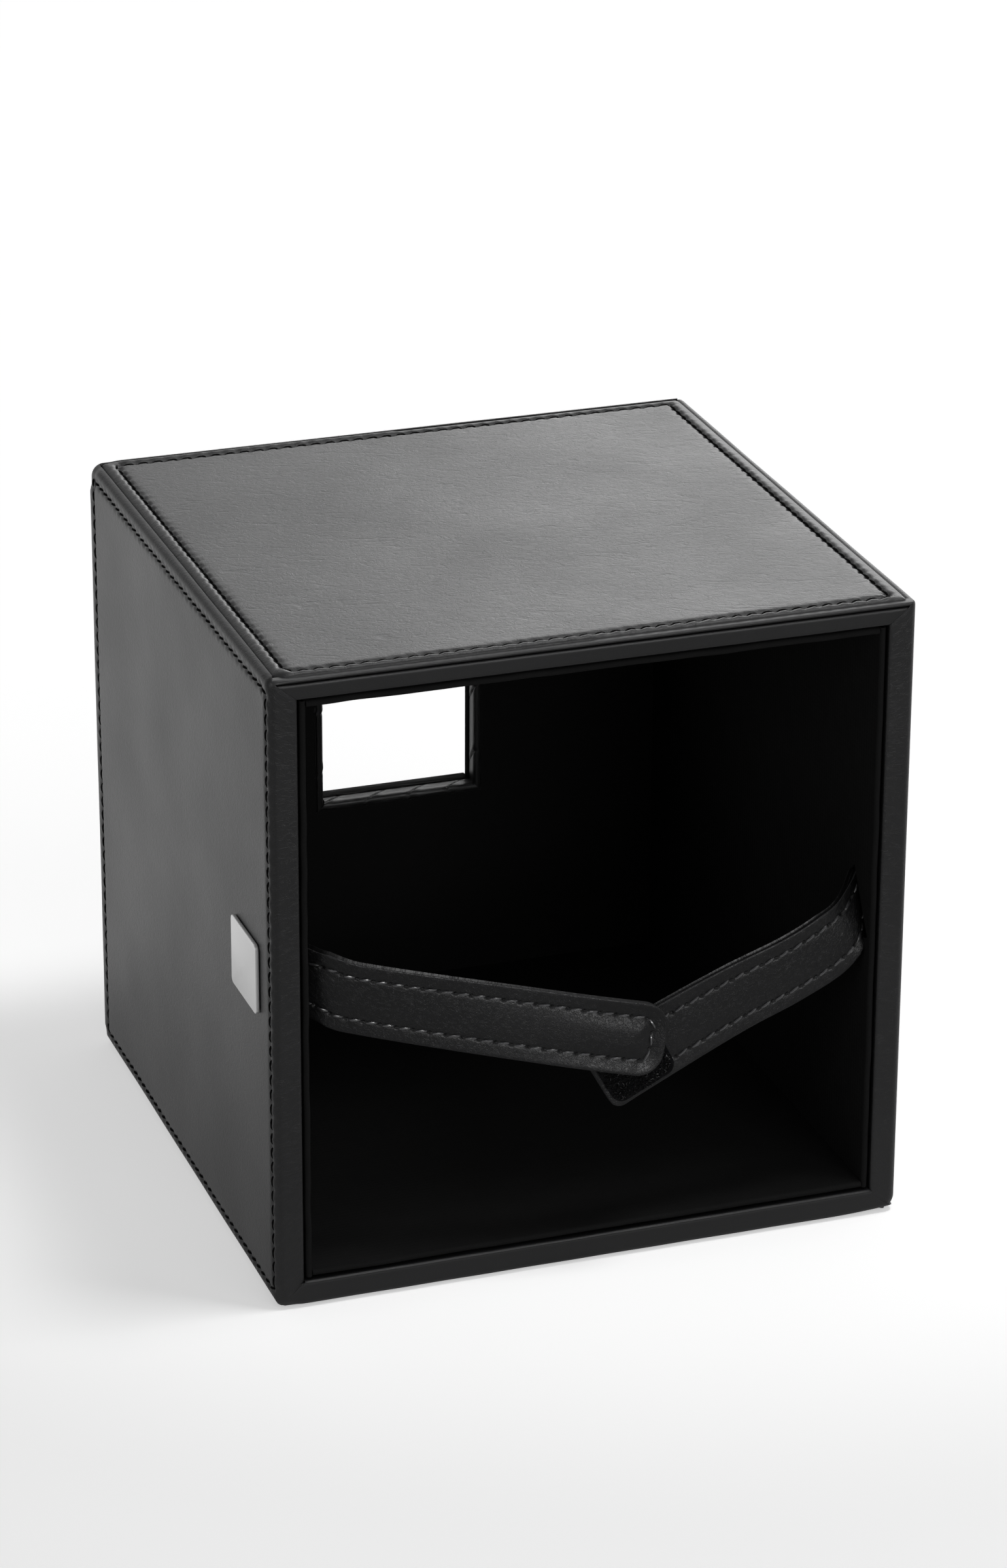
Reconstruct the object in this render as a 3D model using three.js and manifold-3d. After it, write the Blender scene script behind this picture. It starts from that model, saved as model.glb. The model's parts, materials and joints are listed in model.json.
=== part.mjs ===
// Leather tissue-box cover: a cube of board covered in leather, lying on one side.
// The open mouth faces -Y, the window that tissues are pulled through is in the back wall (+Y),
// and a two-part strap with hook and loop tape closes the mouth. Sizes in mm, +Z up,
// origin at the middle of the underside.
import * as THREE from "three";
import { RoundedBoxGeometry } from "three/addons/geometries/RoundedBoxGeometry.js";
import { mergeVertices } from "three/addons/utils/BufferGeometryUtils.js";
import Module from "manifold-3d";

// ---- Driving sizes -------------------------------------------------------------------------
// Outside of the cube
const width = 135;
const depth = 131;
const height = 137;
const edgeRadius = 2.2;

// Walls, from the outer leather to the space behind the lining
const sideWall = 5.8;
const topWall = 4.9;
const bottomWall = 5.8;
const leather = 1.6;
const rimLeather = 0.8;
const backBoard = 2.2;

// Lining panels
const lining = 1.3;
const liningRecess = 0.3;

// Clearances
const glue = 0.1;
const seam = 0.3;
const fit = 0.3;

// Window in the back wall, and the strips of leather that line it
const windowWidth = 34.4;
const windowHeight = 30.8;
const binding = 0.8;
const bindingLip = 1.5;
const bindingLipProud = 0.5;

// Metal plate on the left wall
const plateLength = 17;
const plateHeight = 15;
const plateThickness = 0.7;
const plateCorner = 1.2;
const plateToRim = 8;
const plateCentreZ = 70;
const adhesive = 0.2;
const adhesiveInset = 0.6;

// Strap: two layers of leather per half
const strapWidth = 14.6;
const strapLayer = 0.9;
const strapLayerGap = 0.3;
const strapCorner = 4.2;
const leftStrapZ = 68.3;
const rightLower = 3;
const slitToMouth = 8.9;
const foldLead = 0.4;
const stubProud = 0.75;
const slitEase = 0.8;
const tabLength = 16;
const tabThickness = 0.5;
const strapMeetX = 6;
const strapMeetZ = 47;
const faceUp = 10;
const faceUpBy = 0.8;
const rootTurn = 9;
const bandStep = 3;

// Left half, the outer one; its tip reaches past the middle of the mouth.
const leftReach = 14.3;
const leftDroop = 14;
const leftBulge = 10.2;
const leftRootRise = 1.8;
const leftArch = 0;

// Right half, the inner one; it stops short of the middle.
const rightShort = 3;
const rightDroop = 18.1;
const rightRootRise = 5.9;
const rightArch = 1.7;

// Hook and loop tapes
const tapeThickness = 0.7;
const hookLength = 19;
const loopLength = 14;
const tapeInset = 1.6;
const tapeCorner = 2.6;
const closureGap = 0.3;

// ---- Places worked out from the driving sizes ----------------------------------------------
const left = -width / 2;
const right = width / 2;
const front = -depth / 2;
const back = depth / 2;
const innerRight = right - sideWall;
const innerBottom = bottomWall;
const innerTop = height - topWall;

// The narrow space between wall and lining takes the skived strap tab.
const liningSpace = tabThickness + 2 * glue;
const liningRight = innerRight - liningSpace;
const liningBottom = innerBottom + liningSpace;
const liningTop = innerTop - liningSpace;
const liningFront = front + liningRecess;

// Layers of the back wall: leather, board, lining
const boardFront = front + rimLeather + glue;
const boardBack = back - leather - glue;
const boardBackFront = boardBack - backBoard;
const liningBack = boardBackFront - glue;
const cavityBack = liningBack - lining;

const windowRight = windowWidth / 2;
const windowBottom = (height - windowHeight) / 2;
const windowTop = (height + windowHeight) / 2;

// Each strap half comes through a slit in a side lining and folds at a line beside it.
const strapThickness = 2 * strapLayer + strapLayerGap;
const slitY = front + slitToMouth;
const slitHalf = strapThickness / 2 + fit;
const slitHeight = strapWidth + 2 * slitEase;
const rightStrapZ = leftStrapZ - rightLower;
const stubEnd = liningRight - lining - stubProud;
const foldX = stubEnd - fit - strapThickness / 2;
const foldY = slitY - foldLead;

// Where the halves meet they lie one on the other, with the two tapes between them.
const layerSpacing = strapThickness + 2 * (glue + tapeThickness) + closureGap;
const rightBulge = leftBulge - layerSpacing;

// ---- Materials -----------------------------------------------------------------------------
const skin = new THREE.MeshStandardMaterial({ color: 0x2b2b2d, roughness: 0.45, metalness: 0 });
const card = new THREE.MeshStandardMaterial({ color: 0x8a8378, roughness: 0.9, metalness: 0 });
const cloth = new THREE.MeshStandardMaterial({ color: 0x161616, roughness: 0.95, metalness: 0 });
const steel = new THREE.MeshStandardMaterial({ color: 0xb9b9b9, roughness: 0.35, metalness: 1 });
const foam = new THREE.MeshStandardMaterial({ color: 0x3a3a3a, roughness: 0.9, metalness: 0 });
const nylon = new THREE.MeshStandardMaterial({ color: 0x1d1d1d, roughness: 1, metalness: 0 });

// ---- Tools ---------------------------------------------------------------------------------
const wasm = await Module();
wasm.setup();

const cover = new THREE.Group();
cover.name = "tissue_box_cover";

function group(name, parent) {
  const made = new THREE.Group();
  made.name = name;
  parent.add(made);
  return made;
}

function add(parent, name, geometry, material) {
  const mesh = new THREE.Mesh(geometry, material);
  mesh.name = name;
  parent.add(mesh);
  return mesh;
}

// Box between two corners, given in either order
function slab(xa, xb, ya, yb, za, zb) {
  const box = new THREE.BoxGeometry(Math.abs(xb - xa), Math.abs(yb - ya), Math.abs(zb - za));
  box.translate((xa + xb) / 2, (ya + yb) / 2, (za + zb) / 2);
  return box;
}

// Outline drawn in X and Z, with a thickness from y0 to y1
function upright(points, y0, y1) {
  const outline = new THREE.Shape(points.map(([x, z]) => new THREE.Vector2(x, z)));
  const solid = new THREE.ExtrudeGeometry(outline, { depth: y1 - y0, bevelEnabled: false });
  solid.rotateX(Math.PI / 2);
  solid.translate(0, y1, 0);
  return solid;
}

// Outline drawn in X and Y, with a height from z0 to z1
function standing(points, z0, z1) {
  const outline = new THREE.Shape(points.map(([x, y]) => new THREE.Vector2(x, y)));
  const solid = new THREE.ExtrudeGeometry(outline, { depth: z1 - z0, bevelEnabled: false });
  solid.translate(0, 0, z0);
  return solid;
}

// Plate in X and Y with rounded corners, centred on the origin, rising from z = 0
function roundedPlate(length, breadth, thickness, radius) {
  const x = length / 2;
  const y = breadth / 2;
  const outline = new THREE.Shape();
  outline.moveTo(x, y - radius);
  outline.absarc(x - radius, y - radius, radius, 0, Math.PI / 2, false);
  outline.absarc(radius - x, y - radius, radius, Math.PI / 2, Math.PI, false);
  outline.absarc(radius - x, radius - y, radius, Math.PI, 1.5 * Math.PI, false);
  outline.absarc(x - radius, radius - y, radius, 1.5 * Math.PI, 2 * Math.PI, false);
  return new THREE.ExtrudeGeometry(outline, {
    depth: thickness,
    bevelEnabled: false,
    curveSegments: 4,
  });
}

function toSolid(geometry) {
  const bare = geometry.clone();
  bare.deleteAttribute("normal");
  bare.deleteAttribute("uv");
  const merged = mergeVertices(bare, 1e-4);
  return new wasm.Manifold(new wasm.Mesh({
    numProp: 3,
    vertProperties: new Float32Array(merged.attributes.position.array),
    triVerts: new Uint32Array(merged.index.array),
  }));
}

function toGeometry(solid) {
  const mesh = solid.getMesh();
  const geometry = new THREE.BufferGeometry();
  geometry.setAttribute("position", new THREE.BufferAttribute(mesh.vertProperties, 3));
  geometry.setIndex(new THREE.BufferAttribute(mesh.triVerts, 1));
  geometry.computeVertexNormals();
  return geometry;
}

function join(...geometries) {
  return toGeometry(geometries.map(toSolid).reduce((sum, part) => sum.add(part)));
}

function cut(geometry, ...tools) {
  return toGeometry(tools.map(toSolid).reduce((rest, tool) => rest.subtract(tool), toSolid(geometry)));
}

// The cube's outer form with all edges rounded; each outer skin is trimmed to it.
const envelope = new RoundedBoxGeometry(width, depth, height, 3, edgeRadius);
envelope.translate(0, 0, height / 2);
const envelopeSolid = toSolid(envelope);

function trimmed(geometry) {
  return toGeometry(toSolid(geometry).intersect(envelopeSolid));
}

// Hole through the back wall, wider than the window by `margin` on every side
function windowHole(margin) {
  return slab(
    -windowRight - margin,
    windowRight + margin,
    cavityBack - lining,
    back + lining,
    windowBottom - margin,
    windowTop + margin,
  );
}

// ---- Boards --------------------------------------------------------------------------------
function addBoards(parent) {
  const low = leather + glue;
  const high = height - leather - glue;
  const side = right - leather - glue;
  const between = innerRight - glue;
  add(parent, "left_board", slab(-side, -innerRight, boardFront, boardBack, low, high), card);
  add(parent, "right_board", slab(innerRight, side, boardFront, boardBack, low, high), card);
  add(
    parent,
    "top_board",
    slab(-between, between, boardFront, boardBack, innerTop, high),
    card,
  );
  add(
    parent,
    "bottom_board",
    slab(-between, between, boardFront, boardBack, low, innerBottom),
    card,
  );
  const plain = slab(
    -between,
    between,
    boardBackFront,
    boardBack,
    innerBottom + glue,
    innerTop - glue,
  );
  add(parent, "back_board", cut(plain, windowHole(binding + glue)), card);
}

// ---- Outer leather -------------------------------------------------------------------------
// A side leather covers its wall and turns the front corner onto the rim, where both of its
// ends are mitred against the top and bottom rims. Its edges stand as ridges beside the
// other panels.
function addSideLeather(parent, name, side) {
  const outer = side * right;
  const inner = side * (right - leather);
  const rimEdge = side * innerRight;
  const past = side * (innerRight - seam);
  const profile = [
    [outer, front],
    [outer, back],
    [inner, back],
    [inner, front + rimLeather],
    [rimEdge, front + rimLeather],
    [rimEdge, front],
  ];
  const wrap = trimmed(standing(profile, 0, height));
  const topSlope = topWall / sideWall;
  const bottomSlope = bottomWall / sideWall;
  const topMitre = upright([
    [inner, height - leather * topSlope],
    [past, height - (sideWall + seam) * topSlope],
    [past, height + seam],
    [inner, height + seam],
  ], front - seam, front + rimLeather + glue / 2);
  const bottomMitre = upright([
    [inner, leather * bottomSlope],
    [past, (sideWall + seam) * bottomSlope],
    [past, -seam],
    [inner, -seam],
  ], front - seam, front + rimLeather + glue / 2);
  add(parent, name, cut(wrap, topMitre, bottomMitre), skin);
}

// A top or bottom rim is a strip of leather between the mitred side leathers. `edge` is the
// outer edge of the cube, `wall` the wall thickness and `inward` the way to the middle.
function addRim(parent, name, edge, wall, inward) {
  const slope = wall / sideWall;
  const end = right - leather - fit;
  const endZ = edge + inward * ((right - end) * slope - fit);
  const innerZ = edge + inward * wall;
  const innerX = innerRight - fit / slope;
  add(parent, name, trimmed(upright([
    [-end, edge],
    [-end, endZ],
    [-innerX, innerZ],
    [innerX, innerZ],
    [end, endZ],
    [end, edge],
  ], front, front + rimLeather)), skin);
}

// Top, bottom and back leathers lie inside the ridges of the side leathers.
function addPanelLeathers(parent) {
  const edge = right - leather - seam;
  const start = front + rimLeather + seam;
  const rise = leather + seam;
  add(
    parent,
    "top_leather",
    trimmed(slab(-edge, edge, start, back, height - leather, height)),
    skin,
  );
  add(parent, "bottom_leather", trimmed(slab(-edge, edge, start, back, 0, leather)), skin);
  const backPanel = trimmed(slab(-edge, edge, back - leather, back, rise, height - rise));
  add(parent, "back_leather", cut(backPanel, windowHole(binding + glue)), skin);
}

// ---- Window binding ------------------------------------------------------------------------
// Four strips of leather line the window and end in a flat lip on the face of the lining.
function addWindowBinding(parent) {
  const lipBack = cavityBack - glue;
  const lipFront = lipBack - bindingLipProud;
  const rear = windowRight + binding;
  const lipEdge = rear + bindingLip;
  for (const [name, side] of [["window_jamb_left", -1], ["window_jamb_right", 1]]) {
    const face = side * windowRight;
    const sleeve = slab(face, side * rear, lipFront, back, windowBottom, windowTop);
    const lip = slab(face, side * lipEdge, lipFront, lipBack, windowBottom, windowTop);
    add(parent, name, join(sleeve, lip), skin);
  }
  for (const [name, face, away] of [
    ["window_sill", windowBottom - glue, -1],
    ["window_head", windowTop + glue, 1],
  ]) {
    const under = face + away * (binding - glue);
    const lipEnd = under + away * bindingLip;
    const sleeve = slab(-rear, rear, lipFront, back, face, under);
    const lip = slab(-lipEdge, lipEdge, lipFront, lipBack, face, lipEnd);
    add(parent, name, join(sleeve, lip), skin);
  }
}

// ---- Lining --------------------------------------------------------------------------------
function addLinings(parent) {
  const rear = cavityBack - glue;
  const inner = liningRight - lining;
  add(
    parent,
    "back_lining",
    cut(
      slab(-liningRight, liningRight, cavityBack, liningBack, liningBottom, liningTop),
      windowHole(binding + glue),
    ),
    cloth,
  );
  const sides = [["left_lining", -1, leftStrapZ], ["right_lining", 1, rightStrapZ]];
  for (const [name, side, strapZ] of sides) {
    const panel = slab(
      side * inner,
      side * liningRight,
      liningFront,
      rear,
      liningBottom,
      liningTop,
    );
    const slit = slab(
      side * (inner - lining),
      side * (liningRight + lining),
      slitY - slitHalf,
      slitY + slitHalf,
      strapZ - slitHeight / 2,
      strapZ + slitHeight / 2,
    );
    add(parent, name, cut(panel, slit), cloth);
  }
  const span = inner - glue;
  add(
    parent,
    "top_lining",
    slab(-span, span, liningFront, rear, liningTop - lining, liningTop),
    cloth,
  );
  add(
    parent,
    "bottom_lining",
    slab(-span, span, liningFront, rear, liningBottom, liningBottom + lining),
    cloth,
  );
}

// ---- Strap ---------------------------------------------------------------------------------
// An anchor is the fixed end of a strap half: a skived tab glued behind the lining, and a stub
// that comes through the slit and ends beside the fold line.
function addAnchor(parent, name, side, centreZ) {
  const turnBack = slitY + strapThickness / 2;
  const turnFront = slitY - strapThickness / 2;
  const tabOuter = side * (innerRight - glue);
  const tabInner = side * (innerRight - glue - tabThickness);
  const end = side * stubEnd;
  const anchor = standing([
    [tabOuter, turnFront],
    [tabOuter, turnBack + tabLength],
    [tabInner, turnBack + tabLength],
    [tabInner, turnBack],
    [end, turnBack],
    [end, turnFront],
  ], centreZ - strapWidth / 2, centreZ + strapWidth / 2);
  add(parent, name, anchor, skin);
}

// One layer of a strap half. The band starts upright at the fold line, turns down into its
// droop within `rootTurn`, bows out of the mouth by `bulge`, and turns its face up until it
// lies in the plane where the halves meet. The layer lies between `near` and `far`, measured
// outward from the middle of the band, and from `start` to `end` inward from the fold line.
// A layer that starts at the fold line ends there in a round bead about that line.
function bandLayer(half, near, far, start, end, inset, startCorner, endCorner) {
  const slope = Math.tan(THREE.MathUtils.degToRad(half.droop));
  const tilt = Math.tan(THREE.MathUtils.degToRad(faceUp));
  const halfWidth = strapWidth / 2 - inset;
  const span = foldX - half.side * strapMeetX;
  const stations = [];
  const arcSteps = 4;
  for (let i = 1; i < arcSteps && start === 0; i += 1) {
    const angle = (i / arcSteps) * Math.PI / 2;
    const bead = strapThickness / 2;
    stations.push([-bead * Math.cos(angle), halfWidth, bead * Math.sin(angle)]);
  }
  for (let i = 0; i < arcSteps && startCorner > 0; i += 1) {
    const angle = (i / arcSteps) * Math.PI / 2;
    stations.push([
      start + startCorner * (1 - Math.cos(angle)),
      halfWidth - startCorner * (1 - Math.sin(angle)),
    ]);
  }
  const from = start + startCorner;
  const to = end - endCorner;
  const steps = Math.ceil((to - from) / bandStep);
  for (let i = 0; i <= steps; i += 1) {
    stations.push([from + (i / steps) * (to - from), halfWidth]);
  }
  for (let i = 1; i <= arcSteps && endCorner > 0; i += 1) {
    const angle = (i / arcSteps) * Math.PI / 2;
    stations.push([
      to + endCorner * Math.sin(angle),
      halfWidth - endCorner * (1 - Math.cos(angle)),
    ]);
  }
  const points = [];
  for (const [place, across, limit = strapThickness] of stations) {
    const along = Math.max(0, place);
    const root = Math.max(0, 1 - along / rootTurn);
    const part = along / half.reach;
    const fall = slope + 2 * half.rootRise * root / rootTurn
      - 4 * half.arch * (1 - 2 * part) / half.reach;
    const turned = Math.atan(fall) * (1 - root);
    const middleZ = half.rootZ - along * slope - half.rootRise * (1 - root * root)
      + 4 * half.arch * part * (1 - part);
    for (const up of [across, -across]) {
      const inward = place + up * Math.sin(turned);
      const x = half.side * (foldX - inward);
      const z = middleZ + up * Math.cos(turned);
      const way = Math.min(1, Math.max(0, inward / span));
      const lean = Math.min(1, way / faceUpBy);
      const bow = half.bulge * (1 - (1 - way) ** 2);
      const y = foldY - bow + tilt * lean * lean * (3 - 2 * lean) * (z - strapMeetZ);
      const [outer, inner] = [far, near].map((v) => Math.max(-limit, Math.min(limit, v)));
      points.push([x, y - outer, z], [x, y - inner, z]);
    }
  }
  // Four points per station: upper outer, upper inner, lower outer, lower inner
  const index = [];
  const quad = (a, b, c, d) => index.push(a, b, c, a, c, d);
  quad(0, 1, 3, 2);
  for (let i = 0; i + 1 < stations.length; i += 1) {
    const a = 4 * i;
    const b = a + 4;
    quad(a, a + 2, b + 2, b);
    quad(a + 1, b + 1, b + 3, a + 3);
    quad(a, b, b + 1, a + 1);
    quad(a + 2, a + 3, b + 3, b + 2);
  }
  const last = 4 * (stations.length - 1);
  quad(last, last + 2, last + 3, last + 1);
  if (half.side > 0) {
    index.reverse();
  }
  const geometry = new THREE.BufferGeometry();
  geometry.setAttribute("position", new THREE.Float32BufferAttribute(points.flat(), 3));
  geometry.setIndex(index);
  geometry.computeVertexNormals();
  return geometry;
}

function addStrapHalf(parent, name, half) {
  const outer = strapThickness / 2;
  const inner = outer - strapLayer;
  for (const [layer, near, far] of [["face", inner, outer], ["backing", -outer, -inner]]) {
    const band = bandLayer(half, near, far, 0, half.reach, 0, 0, strapCorner);
    add(parent, `${name}_${layer}`, band, skin);
  }
  const tapeNear = outer + glue;
  const tapeFar = tapeNear + tapeThickness;
  const end = half.reach - tapeInset;
  const start = end - half.tapeLength;
  const [near, far] = half.tapeOutside ? [tapeNear, tapeFar] : [-tapeFar, -tapeNear];
  const tape = bandLayer(half, near, far, start, end, tapeInset, tapeCorner, tapeCorner);
  add(parent, half.tapeName, tape, nylon);
}

// ---- Metal plate ---------------------------------------------------------------------------
function addPlate(parent) {
  const centreY = front + plateToRim + plateLength / 2;
  const place = (geometry, x) => {
    geometry.rotateX(Math.PI / 2);
    geometry.rotateZ(-Math.PI / 2);
    geometry.translate(x, centreY, plateCentreZ);
    return geometry;
  };
  const padX = left - adhesive;
  add(
    parent,
    "plate_adhesive",
    place(
      roundedPlate(
        plateLength - 2 * adhesiveInset,
        plateHeight - 2 * adhesiveInset,
        adhesive,
        plateCorner,
      ),
      left,
    ),
    foam,
  );
  add(
    parent,
    "metal_plate",
    place(roundedPlate(plateLength, plateHeight, plateThickness, plateCorner), padX),
    steel,
  );
}

// ---- Assembly ------------------------------------------------------------------------------
const box = group("box", cover);
addBoards(group("boards", box));

const skins = group("outer_leather", box);
addSideLeather(skins, "left_leather", -1);
addSideLeather(skins, "right_leather", 1);
addPanelLeathers(skins);
addRim(skins, "top_rim", height, topWall, -1);
addRim(skins, "bottom_rim", 0, bottomWall, 1);
addWindowBinding(group("window", box));
addLinings(group("linings", box));
addPlate(group("plate", box));

const strap = group("strap", cover);
addAnchor(strap, "left_strap_anchor", -1, leftStrapZ);
addAnchor(strap, "right_strap_anchor", 1, rightStrapZ);
addStrapHalf(strap, "left_strap", {
  side: -1,
  reach: foldX + leftReach,
  droop: leftDroop,
  bulge: leftBulge,
  rootRise: leftRootRise,
  arch: leftArch,
  rootZ: leftStrapZ,
  tapeName: "hook_tape",
  tapeLength: hookLength,
  tapeOutside: false,
});
addStrapHalf(strap, "right_strap", {
  side: 1,
  reach: foldX - rightShort,
  droop: rightDroop,
  bulge: rightBulge,
  rootRise: rightRootRise,
  arch: rightArch,
  rootZ: rightStrapZ,
  tapeName: "loop_tape",
  tapeLength: loopLength,
  tapeOutside: true,
});

export default cover;
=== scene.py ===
"""Leather tissue-box cover on a pale studio floor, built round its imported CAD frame.

The cover is a cube of board in black leather that lies on one side wall. Each leather skin is a
grid that is laid over its wall, rolled at its edges and sewn down; the strap halves are bands
that follow the way the soft leather hangs.
"""
import copy
import json
import math

import bpy
import numpy as np
from mathutils import Euler, Matrix, Vector, kdtree


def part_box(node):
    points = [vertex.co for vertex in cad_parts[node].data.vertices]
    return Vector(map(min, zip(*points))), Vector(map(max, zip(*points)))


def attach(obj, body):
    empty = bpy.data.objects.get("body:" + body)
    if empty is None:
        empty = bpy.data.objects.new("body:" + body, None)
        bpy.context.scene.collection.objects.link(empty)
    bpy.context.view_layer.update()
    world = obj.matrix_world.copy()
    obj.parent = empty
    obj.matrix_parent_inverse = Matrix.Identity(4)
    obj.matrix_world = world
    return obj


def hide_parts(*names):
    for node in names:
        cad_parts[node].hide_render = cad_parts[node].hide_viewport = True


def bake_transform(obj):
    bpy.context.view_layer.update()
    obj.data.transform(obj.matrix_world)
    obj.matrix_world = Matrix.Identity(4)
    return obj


bl_info = {
    "name": "Tissue-box cover",
    "version": (1, 0, 0),
    "blender": (4, 5, 0),
    "location": "View3D > Sidebar > Cover",
    "description": "Builds the leather, lining, strap, plate and stage of a tissue-box cover",
    "category": "Object",
}

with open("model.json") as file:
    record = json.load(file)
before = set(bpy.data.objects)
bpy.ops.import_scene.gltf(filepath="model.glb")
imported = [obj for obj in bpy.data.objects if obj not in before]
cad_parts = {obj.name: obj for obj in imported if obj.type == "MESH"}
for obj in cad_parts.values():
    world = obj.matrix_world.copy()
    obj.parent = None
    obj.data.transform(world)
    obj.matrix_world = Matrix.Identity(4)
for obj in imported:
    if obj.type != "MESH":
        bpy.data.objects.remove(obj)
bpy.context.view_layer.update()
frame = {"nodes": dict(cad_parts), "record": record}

MM = 0.001


def node_mm(name):
    """Lowest and highest corner of a CAD node, in millimetres."""
    low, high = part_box(name)
    return np.array(low) / MM, np.array(high) / MM


LEFT_LOW, LEFT_HIGH = node_mm("left_leather")
TOP_LOW, TOP_HIGH = node_mm("top_leather")
LINING_LOW, LINING_HIGH = node_mm("right_lining")
JOINTS = {joint["name"]: joint for joint in frame["record"]["behaviour"]["joints"]}

HALF_WIDTH = -LEFT_LOW[0]
FRONT = LEFT_LOW[1]
BACK = LEFT_HIGH[1]
HEIGHT = LEFT_HIGH[2]


# ---- Sizes and colours ---------------------------------------------------------------------
def size_prop(name, description, value):
    return bpy.props.FloatProperty(
        name=name, description=description, default=value * MM, min=0.0, precision=5,
        unit="LENGTH",
    )


def colour_prop(name, description, value):
    return bpy.props.StringProperty(name=name, description=description, default=value)


class CoverSizes(bpy.types.PropertyGroup):
    lip: size_prop("Lip", "Width of the rolled lip outside a side stitch row", 3.1)
    front_lip: size_prop("Front lip", "Width of the top leather's lip along the mouth", 2.3)
    back_lip: size_prop("Back lip", "Width of the top leather's lip along the back", 2.8)
    edge_drop: size_prop("Edge drop", "How far a rolled edge falls", 1.6)
    ridge: size_prop("Ridge", "Width of the side leather seen from above", 1.7)
    low_ridge: size_prop("Low ridge", "Width of the side leather seen from below", 3.2)
    mouth_round: size_prop("Mouth rounding", "Radius of the leather at the mouth corner", 1.9)
    stitch_pitch: size_prop("Stitch pitch", "Length of one stitch on the box", 3.2)
    thread: size_prop("Thread", "Thickness of the sewing thread", 0.52)
    thread_sink: size_prop("Thread sink", "How deep the thread's middle lies", 0.25)
    channel: size_prop("Channel", "Depth to which a stitch row pulls the leather", 0.38)
    hole: size_prop("Needle hole", "Extra depth at each needle hole", 0.5)
    strap_width: size_prop("Strap width", "Width of both strap halves", 14.8)
    strap_thickness: size_prop("Strap thickness", "Thickness of both leather layers", 1.8)
    strap_margin: size_prop("Strap margin", "Stitch row to strap edge", 3.0)
    strap_pitch: size_prop("Strap stitch pitch", "Length of one stitch on the strap", 3.4)
    tip_corner: size_prop("Tip corner", "Corner radius of the left strap's tip", 5.2)
    end_corner: size_prop("End corner", "Corner radius of the right strap's end", 2.4)
    binding_lip: size_prop("Window lip", "Width of the leather turned out round the window", 1.8)
    plate_bevel: size_prop("Plate bevel", "Broken edge of the metal plate", 0.15)


class CoverColours(bpy.types.PropertyGroup):
    leather: colour_prop("Leather", "Black leather", "#1b1b1c")
    thread: colour_prop("Thread", "Matt black thread on the box", "#0b0b0b")
    # The cut edge is paler partly for its thin stain and partly as painted highlight along the
    # strap's edges.
    cut_edge: colour_prop("Cut edge", "Raw edge of the strap leather", "#3e3e3f")
    # The strap's copy of the black thread is painted paler than the box's, as painted highlight for
    # the light its stitches catch.
    strap_thread_painted_highlight: colour_prop("Strap thread", "Waxed black thread on the strap", "#3c3c3e")
    lining: colour_prop("Lining", "Black lining cloth", "#0a0a0a")
    plate: colour_prop("Plate", "Satin steel", "#c4c4c4")
    loop: colour_prop("Loop tape", "Nylon pile", "#0e0e0f")
    hook: colour_prop("Hook tape", "Nylon hooks", "#151515")
    # The board is darkened as painted shade, so that the strap slits show dark.
    board: colour_prop("Board", "Dyed fibreboard", "#2b2927")
    floor: colour_prop("Floor", "Studio floor", "#f2f2f2")


def sizes():
    return bpy.context.scene.cover_sizes


def mm(name):
    """A size property in millimetres."""
    return getattr(sizes(), name) / MM


def linear(name):
    """One of the colours, as linear RGBA."""
    text = getattr(bpy.context.scene.cover_colours, name).lstrip("#")
    channels = [int(text[i:i + 2], 16) / 255 for i in (0, 2, 4)]
    return [c / 12.92 if c <= 0.04045 else ((c + 0.055) / 1.055) ** 2.4 for c in channels] + [1.0]


# ---- Materials -----------------------------------------------------------------------------
def node(tree, kind, inputs=None, **settings):
    """Adds one node with its settings, input values and links. A node that is given as an
    input is linked by its first output."""
    made = tree.nodes.new(kind)
    for name, value in settings.items():
        setattr(made, name, value)
    for key, value in (inputs or {}).items():
        if isinstance(value, bpy.types.Node):
            value = value.outputs[0]
        if isinstance(value, bpy.types.NodeSocket):
            tree.links.new(value, made.inputs[key])
        else:
            made.inputs[key].default_value = value
    return made


def material(name):
    """An empty node material and its tree."""
    made = bpy.data.materials.new(name)
    made.use_nodes = True
    made.node_tree.nodes.clear()
    return made, made.node_tree


def finish_material(tree, inputs):
    """Ends a material with its surface and its output."""
    surface = node(tree, "ShaderNodeBsdfPrincipled", inputs)
    node(tree, "ShaderNodeOutputMaterial", {"Surface": surface})


def pattern(tree, kind, size, inputs, turn=0.0, stretch=1.0, on_skin=False, **settings):
    """A texture `size` millimetres across, stretched along X and then turned. On a skin it
    follows the flat pattern, and elsewhere it fills space."""
    if on_skin:
        source = node(tree, "ShaderNodeUVMap", uv_map="Leather")
    else:
        source = node(tree, "ShaderNodeTexCoord").outputs["Object"]
    place = node(tree, "ShaderNodeMapping", {
        "Vector": source,
        "Rotation": (0, 0, turn),
        "Scale": (size * MM * stretch, size * MM, size * MM),
    }, vector_type="TEXTURE")
    return node(tree, kind, {"Vector": place, "Scale": 1.0, **inputs}, **settings)


def mottled(tree, colour, value, low, high, dark, pale):
    """A colour that goes from `dark` to `pale` times itself while a value goes from low to
    high."""
    tone = node(tree, "ShaderNodeMapRange", {
        "Value": value, "From Min": low, "From Max": high, "To Min": dark, "To Max": pale,
    })
    return node(tree, "ShaderNodeVectorMath", {0: linear(colour)[:3], "Scale": tone},
                operation="SCALE")


# Size of a band texture, in threads, at which one wave spans a pair of threads.
THREAD_PAIR = 6.28


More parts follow.
